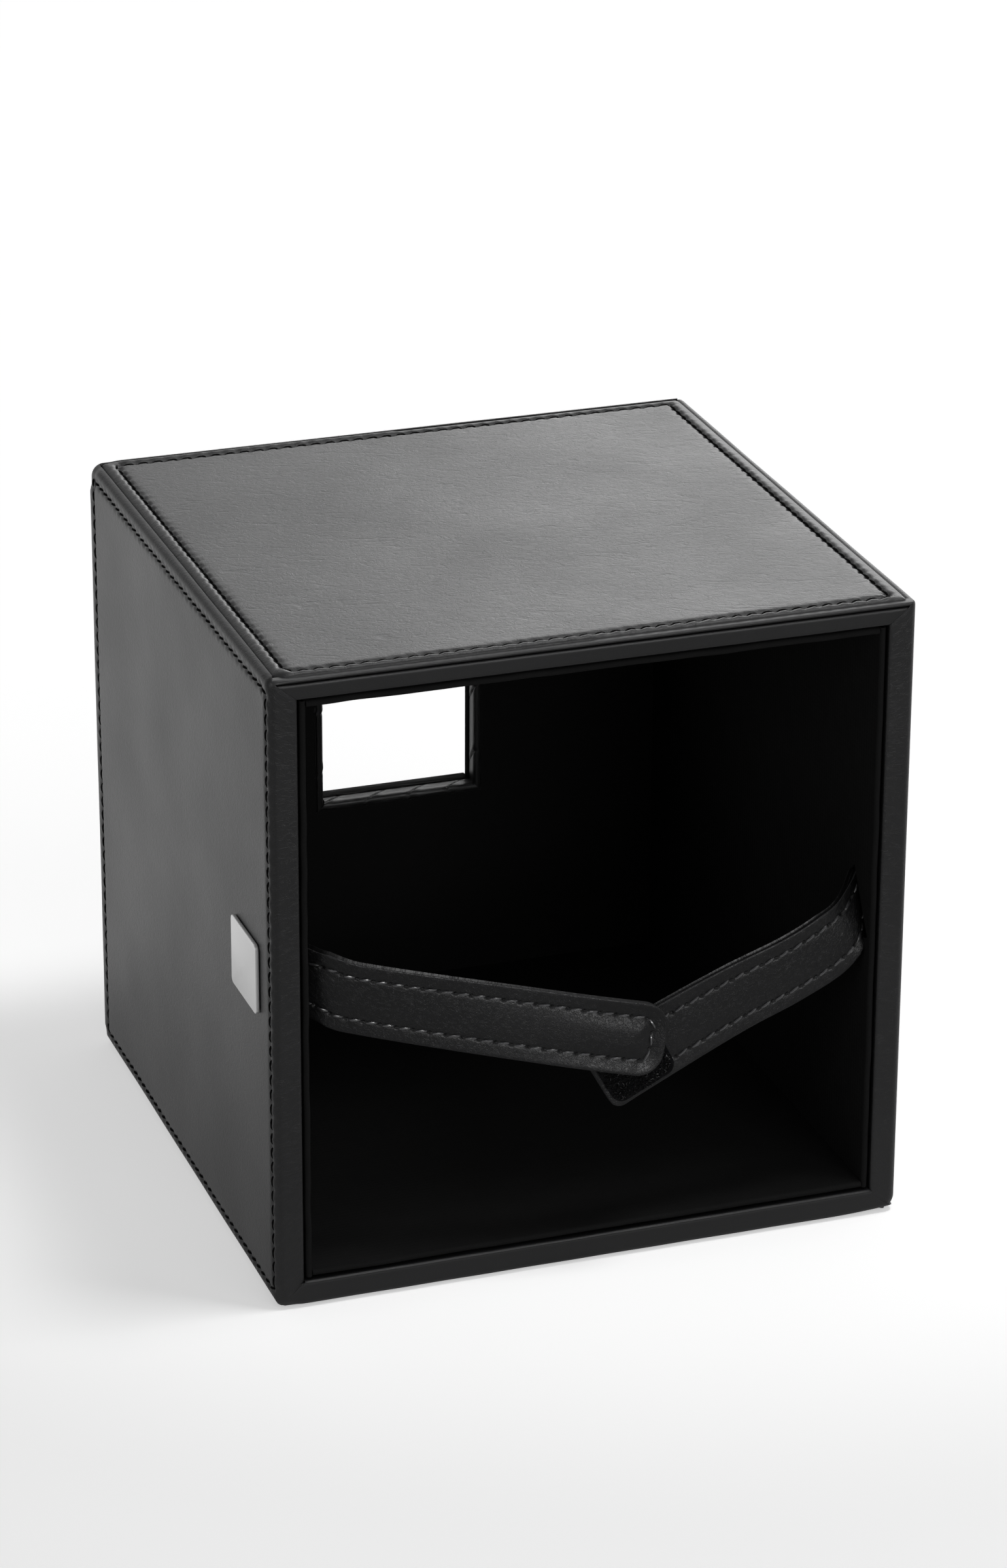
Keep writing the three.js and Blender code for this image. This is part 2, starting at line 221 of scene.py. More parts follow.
def leather_material(name, roughness=0.42, grain=1.0, specular=0.28, folds=0.0, fine=1.0):
    # Corrected-grain cow leather, dyed black and lightly finished: a fine pebble, small wrinkles
    # that mostly run one way, and a soft sheen that varies where the finish is thinner.
    made, tree = material(name)
    # The pebble of such leather is about 0.4 mm across; it is drawn 0.8 mm so that it shows.
    pebble = pattern(tree, "ShaderNodeTexVoronoi", 0.8 * fine, {"Randomness": 1.0},
                     on_skin=True, feature="SMOOTH_F1")
    # Size, stretch and turn of the wrinkles, the creases and the folds, then their detail,
    # roughness and distortion
    wrinkle, crease, fold = (
        pattern(tree, "ShaderNodeTexNoise", size,
                {"Detail": detail, "Roughness": uneven, "Distortion": bend},
                turn, stretch, on_skin=True)
        for size, stretch, turn, detail, uneven, bend in (
            (1.6 * fine, 1.7, -0.5, 3.0, 0.65, 1.2),
            (5.5, 2.2, -0.3, 2.0, 0.5, 0.5),
            (2.6, 2.8, -0.3, 3.0, 0.6, 1.1),
        )
    )
    sheen = pattern(tree, "ShaderNodeTexNoise", 34.0, {"Detail": 2.0}, on_skin=True)
    # A wrinkle is a narrow valley where the noise crosses its middle value.
    off_middle = node(tree, "ShaderNodeMath", {0: wrinkle, 1: 0.5}, operation="SUBTRACT")
    off_middle = node(tree, "ShaderNodeMath", {0: off_middle}, operation="ABSOLUTE")
    valley = node(tree, "ShaderNodeMapRange", {"Value": off_middle, "From Max": 0.07},
                  interpolation_type="SMOOTHSTEP")
    # A few short folds stand where the leather was bent.
    height = node(tree, "ShaderNodeMapRange", {
        "Value": fold, "From Min": 0.54, "From Max": 0.76, "To Max": -folds,
    }, interpolation_type="SMOOTHSTEP")
    for layer, share in ((pebble, 0.6), (valley, 0.5), (crease, 0.7)):
        height = node(tree, "ShaderNodeMath", {0: layer, 1: share, 2: height},
                      operation="MULTIPLY_ADD")
    rough = node(tree, "ShaderNodeMapRange", {
        "Value": sheen, "From Min": 0.35, "From Max": 0.65,
        "To Min": roughness - 0.02, "To Max": roughness + 0.025,
    })
    finish_material(tree, {
        "Base Color": mottled(tree, "leather", sheen, 0.3, 0.7, 0.9, 1.1),
        "Roughness": rough, "IOR": 1.5, "Specular IOR Level": specular,
        "Normal": node(tree, "ShaderNodeBump", {"Distance": 0.035 * grain * MM, "Height": height}),
    })
    return made


def edge_material():
    # Cut edge of the strap leather, stained thinly: matt and fibrous. Its paler colour is partly the
    # thin stain and partly painted highlight, the light line that the strap's edges catch.
    made, tree = material("Leather_cut_edge")
    fibre = pattern(tree, "ShaderNodeTexNoise", 0.4, {"Detail": 3.0})
    finish_material(tree, {
        "Base Color": linear("cut_edge"), "Roughness": 0.8, "Specular IOR Level": 0.08,
        "Normal": node(tree, "ShaderNodeBump", {"Distance": 0.02 * MM, "Height": fibre}),
    })
    return made


def cloth_material():
    # Bonded cotton lining on card: matt, with a faint weave of threads 0.6 mm apart and lint.
    made, tree = material("Lining_cloth_black")
    ways = [
        pattern(tree, "ShaderNodeTexWave", 0.6 * THREAD_PAIR, {"Distortion": 0.4, "Detail": 1.0},
                wave_type="BANDS", bands_direction=direction).outputs[1]
        for direction in ("X", "Y", "Z")
    ]
    weave = node(tree, "ShaderNodeMath", dict(enumerate(ways)), operation="MULTIPLY_ADD")
    lint = pattern(tree, "ShaderNodeTexNoise", 5.0, {"Detail": 5.0})
    finish_material(tree, {
        "Base Color": mottled(tree, "lining", lint, 0.3, 0.75, 0.8, 1.3),
        "Roughness": 0.85, "Specular IOR Level": 0.13,
        "Normal": node(tree, "ShaderNodeBump", {"Distance": 0.015 * MM, "Height": weave}),
    })
    return made


def thread_material(name, colour, roughness, specular):
    # Polyester sewing thread of two plies, 0.45 mm each. On the box it is matt; on the strap it is
    # waxed and catches the light on its twist, and there its colour is painted paler as painted
    # highlight.
    made, tree = material(name)
    twist = pattern(tree, "ShaderNodeTexWave", 0.45 * THREAD_PAIR, {"Distortion": 0.5},
                    wave_type="BANDS", bands_direction="DIAGONAL").outputs[1]
    finish_material(tree, {
        "Base Color": linear(colour), "Roughness": roughness, "Specular IOR Level": specular,
        "Normal": node(tree, "ShaderNodeBump", {"Distance": 0.04 * MM, "Height": twist}),
    })
    return made


def pile_material(name, colour, specular=0.4):
    # Nylon filament of a touch fastener: black, with a soft shine on each filament. As a woven
    # tape it is dull.
    made, tree = material(name)
    speck = pattern(tree, "ShaderNodeTexNoise", 0.4, {"Detail": 3.0})
    finish_material(tree, {
        "Base Color": mottled(tree, colour, speck, 0.35, 0.65, 0.6, 2.0),
        "Roughness": 0.35, "Specular IOR Level": specular,
        "Normal": node(tree, "ShaderNodeBump", {"Distance": 0.1 * MM, "Height": speck}),
    })
    return made


def steel_material():
    # Stainless steel sheet, bead-blasted to a satin: an even pale grey without streaks.
    made, tree = material("Satin_stainless_steel")
    blast = pattern(tree, "ShaderNodeTexNoise", 0.35, {"Detail": 2.0})
    finish_material(tree, {
        "Base Color": linear("plate"), "Metallic": 1.0, "Roughness": 0.38,
        "Normal": node(tree, "ShaderNodeBump", {"Distance": 0.006 * MM, "Height": blast}),
    })
    return made


def board_material():
    # Fibreboard darkened nearly to black as painted shade, so that the slits show dark as the shade
    # in them does: matt, faintly fibrous.
    made, tree = material("Pressed_fibreboard")
    fibre = pattern(tree, "ShaderNodeTexNoise", 1.5, {"Detail": 6.0})
    finish_material(tree, {
        "Base Color": mottled(tree, "board", fibre, 0.3, 0.7, 0.75, 1.1),
        "Roughness": 0.9, "Specular IOR Level": 0.3,
    })
    return made


MATERIALS = {}


def finishes():
    """All the materials, made once."""
    if not MATERIALS:
        MATERIALS.update(
            leather=leather_material("Cow_leather_black_smooth"),
            top=leather_material("Cow_leather_black_creased", folds=1.3),
            rim=leather_material("Cow_leather_black_pressed", grain=0.3),
            strap=leather_material("Strap_leather_black", 0.33, 1.1, specular=0.18, fine=0.55),
            cut_edge=edge_material(),
            lining=cloth_material(),
            thread=thread_material("Matt_polyester_thread", "thread", 0.9, 0.05),
            # Painted highlight: the strap's black thread is painted paler than the box's.
            waxed=thread_material("Waxed_polyester_thread_painted_highlight", "strap_thread_painted_highlight", 0.3, 0.9),
            steel=steel_material(),
            loop=pile_material("Loop_tape_nylon", "loop"),
            hook=pile_material("Hook_tape_nylon", "hook"),
            tape=pile_material("Woven_tape_nylon", "loop", specular=0.03),
            board=board_material(),
        )
    return MATERIALS


# ---- Making pieces -------------------------------------------------------------------------
def start_clean():
    if bpy.context.object and bpy.context.object.mode != "OBJECT":
        bpy.ops.object.mode_set(mode="OBJECT")
    bpy.ops.object.select_all(action="DESELECT")


def choose(piece):
    start_clean()
    piece.select_set(True)
    bpy.context.view_layer.objects.active = piece


def apply_place():
    """Puts the place, turn and size of the active piece into its mesh."""
    bpy.ops.object.transform_apply(location=True, rotation=True, scale=True)


def apply_modifier(piece, kind, **settings):
    choose(piece)
    modifier = piece.modifiers.new(kind.title(), kind)
    for name, value in settings.items():
        setattr(modifier, name, value)
    bpy.ops.object.modifier_apply(modifier=modifier.name)


def edit_selected(piece, kind, wanted):
    """Opens a piece in edit mode with the wanted vertices or edges selected."""
    bpy.ops.object.mode_set(mode="EDIT")
    bpy.ops.mesh.select_mode(type=kind)
    bpy.ops.mesh.select_all(action="DESELECT")
    bpy.ops.object.mode_set(mode="OBJECT")
    parts = piece.data.vertices if kind == "VERT" else piece.data.edges
    parts.foreach_set("select", wanted)
    bpy.ops.object.mode_set(mode="EDIT")


def dress(piece, finish, angle=50):
    """Gives a piece its finish and smooth shading."""
    piece.data.materials.clear()
    piece.data.materials.append(finishes()[finish])
    choose(piece)
    bpy.ops.object.shade_smooth_by_angle(angle=math.radians(angle))


def vertex_places(piece):
    """The places of a piece's vertices in metres, one row each."""
    flat = np.empty(len(piece.data.vertices) * 3)
    piece.data.vertices.foreach_get("co", flat)
    return flat.reshape(-1, 3)


def skin(name, us, vs, place, thickness, facing, finish="leather", hole=None):
    """A grid with a row at every u and v, laid on place(u, v) with its face turned towards
    `facing`, and given its thickness behind that face. A hole is a box on the flat pattern."""
    start_clean()
    bpy.ops.mesh.primitive_grid_add(
        x_subdivisions=len(us) - 1, y_subdivisions=len(vs) - 1, size=2,
    )
    piece = bpy.context.object
    piece.name = piece.data.name = name
    part = (vertex_places(piece) + 1) / 2
    u = np.asarray(us)[np.rint(part[:, 0] * (len(us) - 1)).astype(int)]
    v = np.asarray(vs)[np.rint(part[:, 1] * (len(vs) - 1)).astype(int)]
    piece.data.vertices.foreach_set("co", (place(u, v) * MM).ravel())
    uv = piece.data.uv_layers.active or piece.data.uv_layers.new()
    uv.name = "Leather"
    corner = np.empty(len(piece.data.loops), int)
    piece.data.loops.foreach_get("vertex_index", corner)
    uv.data.foreach_set("uv", (np.stack([u, v], 1)[corner] * MM).ravel())
    piece.data.update()
    turned = sum((face.normal * face.area for face in piece.data.polygons), Vector())
    if turned.dot(Vector(facing)) < 0:
        piece.data.flip_normals()
    if hole:
        inside = (u > hole[0]) & (u < hole[2]) & (v > hole[1]) & (v < hole[3])
        edit_selected(piece, "VERT", inside)
        bpy.ops.mesh.delete(type="VERT")
        bpy.ops.object.mode_set(mode="OBJECT")
    apply_modifier(piece, "SOLIDIFY", thickness=thickness * MM, offset=-1.0)
    rounded = round_corners(vertex_places(piece) / MM) * MM
    piece.data.vertices.foreach_set("co", rounded.ravel())
    dress(piece, finish)
    return piece


# Distance between a skin's rows: near its edges and seams, and over its middle, in mm.
FINE_ROW, COARSE_ROW = 0.32, 1.0
# Thickness of a leather skin, in mm.
SKIN = 0.5


def spaced(low, high, margin):
    """Rows from low to high, fine within `margin` of both ends."""
    ends = np.arange(0, margin, FINE_ROW)
    count = int((high - low - 2 * margin) / COARSE_ROW)
    middle = np.linspace(low + margin, high - margin, count)
    return np.concatenate([low + ends, middle, high - ends[::-1]])


def rounded_inside(u, v, box, radii):
    """Distance inside a rounded rectangle. Box is low u, low v, high u, high v; the radii
    are those of its corners, low-low, high-low, low-high and high-high."""
    cu, cv = (box[0] + box[2]) / 2, (box[1] + box[3]) / 2
    au, av = (box[2] - box[0]) / 2, (box[3] - box[1]) / 2
    right, upper = u > cu, v > cv
    radius = np.where(upper, np.where(right, radii[3], radii[2]),
                      np.where(right, radii[1], radii[0]))
    qu, qv = np.abs(u - cu) - au + radius, np.abs(v - cv) - av + radius
    outer = np.hypot(np.maximum(qu, 0), np.maximum(qv, 0))
    return radius - outer - np.minimum(np.maximum(qu, qv), 0)


def rounded_path(box, radii):
    """The outline of a rounded rectangle as closely spaced points, anticlockwise."""
    u0, v0, u1, v1 = box
    corners = [(u0, v0, radii[0], 180), (u1, v0, radii[1], 270),
               (u1, v1, radii[3], 0), (u0, v1, radii[2], 90)]
    points = []
    for cu, cv, r, start in corners:
        mu = cu + (r if cu == u0 else -r)
        mv = cv + (r if cv == v0 else -r)
        for angle in np.radians(np.linspace(start, start + 90, 9)):
            points.append((mu + r * np.cos(angle), mv + r * np.sin(angle)))
    return evenly_spaced(np.array(points + points[:1]))


def evenly_spaced(points, step=0.25):
    """The same path with its points a step apart, in mm."""
    lengths = np.hypot(*np.diff(points, axis=0).T)
    along = np.concatenate([[0], np.cumsum(lengths)])
    even = np.linspace(0, along[-1], max(2, int(round(along[-1] / step)) + 1))
    return np.stack([np.interp(even, along, points[:, k]) for k in range(points.shape[1])], 1)


class Seam:
    """A row of stitches along a path on a flat pattern. The field lies on its left."""

    def __init__(self, points, pitch):
        self.points = points
        self.along = np.concatenate([[0], np.cumsum(np.hypot(*np.diff(points, axis=0).T))])
        self.count = int(round(self.along[-1] / pitch))
        self.pitch = self.along[-1] / self.count
        self.tangents = np.gradient(points, axis=0)
        self.tangents /= np.maximum(np.hypot(*self.tangents.T), 1e-9)[:, None]
        self.tree = kdtree.KDTree(len(points))
        for index, (u, v) in enumerate(points):
            self.tree.insert((u, v, 0), index)
        self.tree.balance()

    def at(self, distance):
        return np.array([np.interp(distance, self.along, self.points[:, k]) for k in (0, 1)])

    def read(self, u, v, reach):
        """Signed distance from the row and place along it, for points within reach."""
        offset = np.full(len(u), reach * 2.0)
        place = np.zeros(len(u))
        for index, (x, y) in enumerate(zip(u, v)):
            near, found, distance = self.tree.find((x, y, 0))
            if distance > reach:
                continue
            t = self.tangents[found]
            side = t[0] * (y - near[1]) - t[1] * (x - near[0])
            offset[index] = math.copysign(distance, side)
            place[index] = self.along[found] + t[0] * (x - near[0]) + t[1] * (y - near[1])
        return offset, place


def sewn_relief(seam, u, v, channel, hole, width=0.55, reach=3.5, oblique=0.45, grip=0.5,
                spread=0.85, swell=0.14, bulge=0.0):
    """How far a stitch row pulls the leather down at each point, and how far the lip outside
    it stands up."""
    offset, place = seam.read(u, v, reach)
    phase = (place / seam.pitch + 0.5) % 1 * seam.pitch - seam.pitch / 2
    row = channel * np.exp(-(offset / width) ** 2)
    # Each needle hole pulls a short oblique crease out of the field side.
    crease_u = phase - oblique * np.maximum(offset, 0)
    dip = hole * np.exp(-(crease_u / grip) ** 2)
    dip = dip * np.exp(-((offset - 0.3 * spread * (oblique > 0)) / spread) ** 2)
    # Between the holes the leather swells a little against the thread.
    swollen = swell * np.cos(2 * np.pi * phase / seam.pitch)
    lip = bulge * np.exp(-((offset + 1.5) / 0.8) ** 2)
    return lip - row - dip - swollen * np.exp(-((offset + 0.9) / 0.6) ** 2)


def one_stitch(thread, length):
    """One stitch, lying along X with its ends dipping into the leather."""
    start_clean()
    bpy.ops.mesh.primitive_cylinder_add(vertices=6, radius=thread / 2, depth=length,
                                        rotation=(0, math.pi / 2, 0), end_fill_type="TRIFAN")
    stitch = bpy.context.object
    apply_place()
    bpy.ops.object.mode_set(mode="EDIT")
    for share in (0.22, -0.22, 0.42, -0.42):
        bpy.ops.mesh.select_all(action="SELECT")
        bpy.ops.mesh.bisect(plane_co=(share * length, 0, 0), plane_no=(1, 0, 0))
    bpy.ops.object.mode_set(mode="OBJECT")
    # Each half dips from a third of the way out, and its last quarter narrows to the hole.
    dip_from, narrow_from = 0.35, 0.75
    for vertex in stitch.data.vertices:
        part = abs(vertex.co.x) / (length / 2)
        vertex.co.z -= 0.62 * thread * max(0, part - dip_from) ** 2 / 0.42
        vertex.co.y *= 1 - 0.45 * max(0, part - narrow_from) / (1 - narrow_from)
    return stitch


def settle(piece, body="box", replaces=(), blend=None):
    """Says what a finished piece moves with and what it stands for. A piece given a blend moves with
    no body; only its place is baked into its mesh.
    """
    if blend:
        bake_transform(piece)
    else:
        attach(piece, body)
    if replaces:
        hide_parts(*replaces)
    return piece


def sew(name, seam, surface, lift, pitch_part=0.74, slant=0.16, blend=None, finish="thread"):
    """Copies one stitch to every place of a seam and joins the copies into one row."""
    model = one_stitch(mm("thread") * MM, seam.pitch * pitch_part * MM)
    stitches = []
    for k in range(seam.count):
        middle = (k + 0.5) * seam.pitch
        u, v = np.array([seam.at(middle + d) for d in (-seam.pitch / 2, 0, seam.pitch / 2)]).T
        spots = surface(u, v, np.full(3, lift))
        base = surface(u[1:2], v[1:2], np.array([lift - 1.0]))[0]
        ahead = spots[2] - spots[0]
        ahead /= np.linalg.norm(ahead)
        up = spots[1] - base
        up -= ahead * (up @ ahead)
        up /= np.linalg.norm(up)
        lean = ahead * math.cos(slant) + np.cross(up, ahead) * math.sin(slant)
        turn = Matrix(np.stack([lean, np.cross(up, lean), up], 1)).to_4x4()
        turn.translation = spots[1] * MM
        mesh = model.data.copy()
        mesh.transform(turn)
        stitch = bpy.data.objects.new(name, mesh)
        bpy.context.collection.objects.link(stitch)
        stitches.append(stitch)
    bpy.data.objects.remove(model, do_unlink=True)
    start_clean()
    for stitch in stitches:
        stitch.select_set(True)
    bpy.context.view_layer.objects.active = stitches[0]
    bpy.ops.object.join()
    row = bpy.context.object
    row.name = row.data.name = name
    dress(row, finish)
    return settle(row, blend=blend)


# Rounding of the box's eight corners: which faces meet (left or right, front or back, bottom
# or top) and the radius in mm. Use has knocked them unevenly round.
CORNERS = {
    (-1, -1, -1): 2.6, (1, -1, -1): 1.3, (-1, -1, 1): 2.0, (1, -1, 1): 1.3,
    (-1, 1, -1): 2.0, (1, 1, -1): 2.4, (-1, 1, 1): 2.8, (1, 1, 1): 1.8,
}


def soften(points):
    """Rounds off the box's corners and wears one end of the rim."""
    points = points.copy()
    # The lower right end of the mouth is worn upward.
    worn = np.clip(1 - (HALF_WIDTH - points[:, 0]) / 14, 0, 1) ** 2
    worn = worn * np.clip(1 - (points[:, 1] - FRONT) / 8, 0, 1)
    points[:, 2] += 0.9 * worn * np.clip(1 - points[:, 2] / 5, 0, 1)
    return round_corners(points)


def round_corners(points):
    """Rounds off the corners. Nothing goes below the floor, and the lower left corner of the
    mouth is knocked up off it."""
    away = np.hypot(points[:, 0] + HALF_WIDTH, points[:, 1] - FRONT)
    points[:, 2] = np.maximum(points[:, 2], 0.03 + 0.6 * np.clip(1 - away / 5, 0, 1))
    for (sx, sy, sz), radius in CORNERS.items():
        depth = np.stack([
            HALF_WIDTH - sx * points[:, 0],
            BACK - points[:, 1] if sy > 0 else points[:, 1] - FRONT,
            HEIGHT - points[:, 2] if sz > 0 else points[:, 2],
        ], 1)
        lack = np.maximum(radius - depth, 0)
        length = np.linalg.norm(lack, axis=1)
        near = np.clip(1.5 - depth.max(axis=1) / (1.6 * radius), 0, 1)
        near = near * near * (3 - 2 * near)
        back = np.where(length > radius, 1 - radius / np.maximum(length, 1e-6), 0) * near
        points -= lack * back[:, None] * np.array([sx, sy, sz])
    return points


def waviness(u, v, seed):
    """Faint unevenness of hand-laid leather, a few hundredths of a millimetre."""
    total = np.zeros(len(u))
    rng = np.random.default_rng(seed)
    for _ in range(9):
        angle, phase = rng.uniform(0, math.pi), rng.uniform(0, 2 * math.pi)
        length = rng.uniform(14, 60)
        total += np.sin(2 * math.pi * (u * math.cos(angle) + v * math.sin(angle)) / length
                        + phase) * length / 60
    return 0.018 * total


def rolled(distance, width, drop):
    """Fall of an edge that rolls over within `width` of its outline."""
    part = np.clip(1 - distance / width, 0, 1)
    return -drop * (1 - np.sqrt(1 - part ** 2))


# ---- Outer leather -------------------------------------------------------------------------
def flat_panel(name, outline, corners, row, row_corners, place, facing, replaces, seed,
               rolls=((1.6, 1.2),) * 4, hole=None, finish="leather", bulge=0.0):
    """A sewn leather panel. Outline, row and hole are boxes on the flat pattern; place(u, v, h)
    puts the pattern on its wall. Rolls give the width and the fall of the rolled edge at low u,
    low v, high u and high v."""
    u0, v0, u1, v1 = outline
    # The rows just outside the outline are turned down, which closes the panel's edge.
    margin, outside, turned_by = 4.4, 0.01, 0.4
    us = np.concatenate([[u0 - outside], spaced(u0, u1, margin), [u1 + outside]])
    vs = np.concatenate([[v0 - outside], spaced(v0, v1, margin), [v1 + outside]])
    if hole:
        us = np.sort(np.concatenate([us, (hole[0], hole[2])]))
        vs = np.sort(np.concatenate([vs, (hole[1], hole[3])]))
    seam = Seam(rounded_path(row, row_corners), mm("stitch_pitch"))

    def laid(u, v):
        inside = rounded_inside(u, v, outline, corners)
        nearness = np.exp(-np.stack([u - u0, v - v0, u1 - u, v1 - v]) / 0.8)
        nearness /= nearness.sum(axis=0)
        width, drop = np.array(rolls).T @ nearness
        height = rolled(inside, width, drop) + waviness(u, v, seed)
        height += sewn_relief(seam, u, v, mm("channel"), mm("hole"), bulge=bulge * (u < 0))
        turned_down = (u < u0) | (u > u1) | (v < v0) | (v > v1)
        height = np.where(turned_down, -drop - turned_by, height)
        return place(np.clip(u, u0, u1), np.clip(v, v0, v1), height)

    panel = skin(name, us, vs, laid, SKIN, facing, finish, hole)
    settle(panel, replaces=replaces)
    sew(name + "_stitches", seam, place, -mm("thread_sink"))


def wall_frames():
    """Outer planes of the top, bottom and back walls, as functions of pattern and height."""
    def top(u, v, h):
        return soften(np.stack([u, v, HEIGHT + h], 1))

    def bottom(u, v, h):
        return soften(np.stack([-u, v, -h], 1))

    def back(u, v, h):
        return soften(np.stack([-u, BACK + h, v], 1))

    return top, bottom, back


class COVER_OT_panels(bpy.types.Operator):
    """Lay and sew the top, bottom and back leathers"""
    bl_idname = "cover.panels"
    bl_label = "Top, bottom and back leathers"

    def execute(self, context):
        top, bottom, back = wall_frames()
        lip, front_lip, back_lip = mm("lip"), mm("front_lip"), mm("back_lip")
        drop = mm("edge_drop")
        # The panels meet the side leathers closely and stop short of the back's rolled edge.
        close, short = 0.2, 1.8
        half = TOP_HIGH[0] + close
        low, high = TOP_LOW[1] - close / 2, BACK - short
        outline = (-half, low, half, high)
        row = (lip - half, low + front_lip, half - lip, high - back_lip)
        flat_panel("top_leather_skin", outline, (3.0, 0.9, 1.2, 1.2), row, (2.6, 0.4, 0.4, 0.5),
                   top, (0, 0, 1), ["top_leather"], 3,
                   rolls=((2.9, drop), (1.5, drop), (2.2, 0.45 * drop), (1.6, 0.8 * drop)),
                   finish="top", bulge=0.2)
        low_half = HALF_WIDTH - mm("low_ridge") - 0.5
        outline = (-low_half, low, low_half, high)
        flat_panel("bottom_leather_skin", outline, (0.9, 0.9, 1.2, 1.2), row,
                   (0.4, 0.4, 0.5, 0.5), bottom, (0, 0, -1), ["bottom_leather"], 4)
        # The back leather has its window cut out before it is laid.
        outline = (-half, close, half, HEIGHT - close)
        row = (lip - half, close + lip, half - lip, HEIGHT - close - lip)
        x0, z0, x1, z1 = window_opening()
        # Its cut edge stands this far back from the window's binding.
        cut = 0.9
        flat_panel("back_leather_skin", outline, (1.2,) * 4, row, (0.5,) * 4, back, (0, 1, 0),
                   ["back_leather"], 5, hole=(x0 - cut, z0 - cut, x1 + cut, z1 + cut))
        return {"FINISHED"}


def window_opening():
    """The window between its bindings, as low x, low z, high x and high z."""
    jamb = node_mm("window_jamb_left")[1][0]
    return jamb, node_mm("window_sill")[1][2], -jamb, node_mm("window_head")[0][2]


# Width of the rim as the mouth shows it, over the top wall and over a side wall, in mm.
TOP_RIM, SIDE_RIM = 5.0, 6.0


def side_frame(side):
    """The side leather's way round its wall: up the face, over its upper and lower edges,
    and round the mouth corner onto the rim. Returns place(u, v, h), the row where it ends
    inside the mouth, and those where it ends under the top and the bottom."""
    corner, ridges = mm("mouth_round"), {1: mm("ridge"), -1: mm("low_ridge")}
    # The right side's upper edge sinks below the top leather.
    sunk = 1.1 if side > 0 else 0.0
    turn, tucked_in = 0.5, 2.0
    bend_start = FRONT + corner
    rim_start = bend_start - corner * math.pi / 2
    rim_width = SIDE_RIM - corner - turn
    turn_start = rim_start - rim_width
    inside_start = turn_start - turn * math.pi / 2
    u_end = inside_start - tucked_in
    slope = TOP_RIM / SIDE_RIM

    def place(u, v, h):
        # Plan: outline point and outward normal
        a = np.clip((bend_start - u) / corner, 0, math.pi / 2)
        x = HALF_WIDTH - corner * (1 - np.cos(a))
        y = np.maximum(u, bend_start) - corner * np.sin(a)
        nx, ny = np.cos(a), -np.sin(a)
        on_rim = np.clip(rim_start - u, 0, rim_width)
        x = x - on_rim
        b = np.clip((turn_start - u) / turn, 0, math.pi / 2)
        x = x - turn * np.sin(b)
        y = y + turn * (1 - np.cos(b)) + np.clip(inside_start - u, 0, None)
        nx, ny = nx - np.sin(b), np.where(b > 0, -np.cos(b), ny)
        # Section: the upper and lower edges roll over to the ridge
        face = np.clip(1 - a / (math.pi / 2), 0, 1)
        z = v.copy()
        inward = np.zeros(len(u))
        for sign, edge in ((1, HEIGHT - ridges[1]), (-1, ridges[-1])):
            ridge = ridges[sign]
            edge_arc = ridge * math.pi / 2
            past = np.maximum(0, sign * (v - edge))
            c = np.clip(past / ridge, 0, math.pi / 2)
            beyond = np.maximum(0, past - edge_arc)
            z = np.where(past > 0, edge + sign * (ridge * np.sin(c) - beyond * face), z)
            inward += ridge * (1 - np.cos(c)) * face
            nz = sign * np.sin(c) * face
            z = z + nz * h * (past > 0)
            z = z - (sign > 0) * sunk * face * np.clip(past / edge_arc, 0, 1) ** 2
            h = np.where(past > 0, h * np.cos(c), h)
            # The rim part ends on the mitre
            mitre = (HALF_WIDTH - x) * slope + 0.02
            ramp = np.clip(1 - np.abs(z - (HEIGHT if sign > 0 else 0)) / 40, 0, 1)
            z = z - sign * mitre * ramp * (1 - face)
            inward += (1 - face) * (beyond + 0.3 * np.clip(1 - (edge_arc - past) / 0.5, 0, 1) ** 2)
        x = x - nx * inward + nx * h
        y = y - ny * inward + ny * h
        return soften(np.stack([side * x, y, z], 1))

    turned = math.pi / 2 - 1
    return place, u_end, (-turned * ridges[-1], HEIGHT + turned * ridges[1])


class COVER_OT_sides(bpy.types.Operator):
    """Lay and sew the two side leathers round the mouth corners"""
    bl_idname = "cover.sides"
    bl_label = "Side leathers"

    def execute(self, context):
        for name, side, seed in (("left_leather", -1, 1), ("right_leather", 1, 2)):
            place, u_end, (v0, v1) = side_frame(side)
            # On the left the row runs close behind the mouth corner.
            front_row = mm("mouth_round") + (0.05 if side < 0 else 1.5)
            row = (FRONT + front_row, 3.8, BACK - 3.2, HEIGHT - 3.3)
            seam = Seam(rounded_path(row, (0.5,) * 4), mm("stitch_pitch"))
            # Close rows follow the turn at the mouth and the ridges, past which the skin is
            # tucked under.
            close, under = 0.3, 1.2
            face = row[0] - 1.2
            us = np.concatenate([np.arange(u_end, face, close), spaced(face, BACK, 5.0)])
            vs = np.concatenate([
                np.arange(v0 - under, 0.0, close), spaced(0, HEIGHT, 5.6),
                HEIGHT + np.arange(close, v1 + under - HEIGHT, close),
            ])

            def laid(u, v, place=place, seam=seam, seed=seed):
                height = waviness(u, v, seed) * np.clip((u - FRONT) / 6, 0, 1)
                height = height + sewn_relief(seam, u, v, mm("channel") * 0.7, mm("hole") * 0.6)
                height = height + rolled(BACK - u, 0.9, 0.5)
                return place(u, v, height)

            panel = skin(name + "_skin", us, vs, laid, SKIN, (side, 0, 0))
            settle(panel, replaces=[name])
            sew(name + "_stitches", seam, place, -0.6 * mm("thread_sink"))
        return {"FINISHED"}


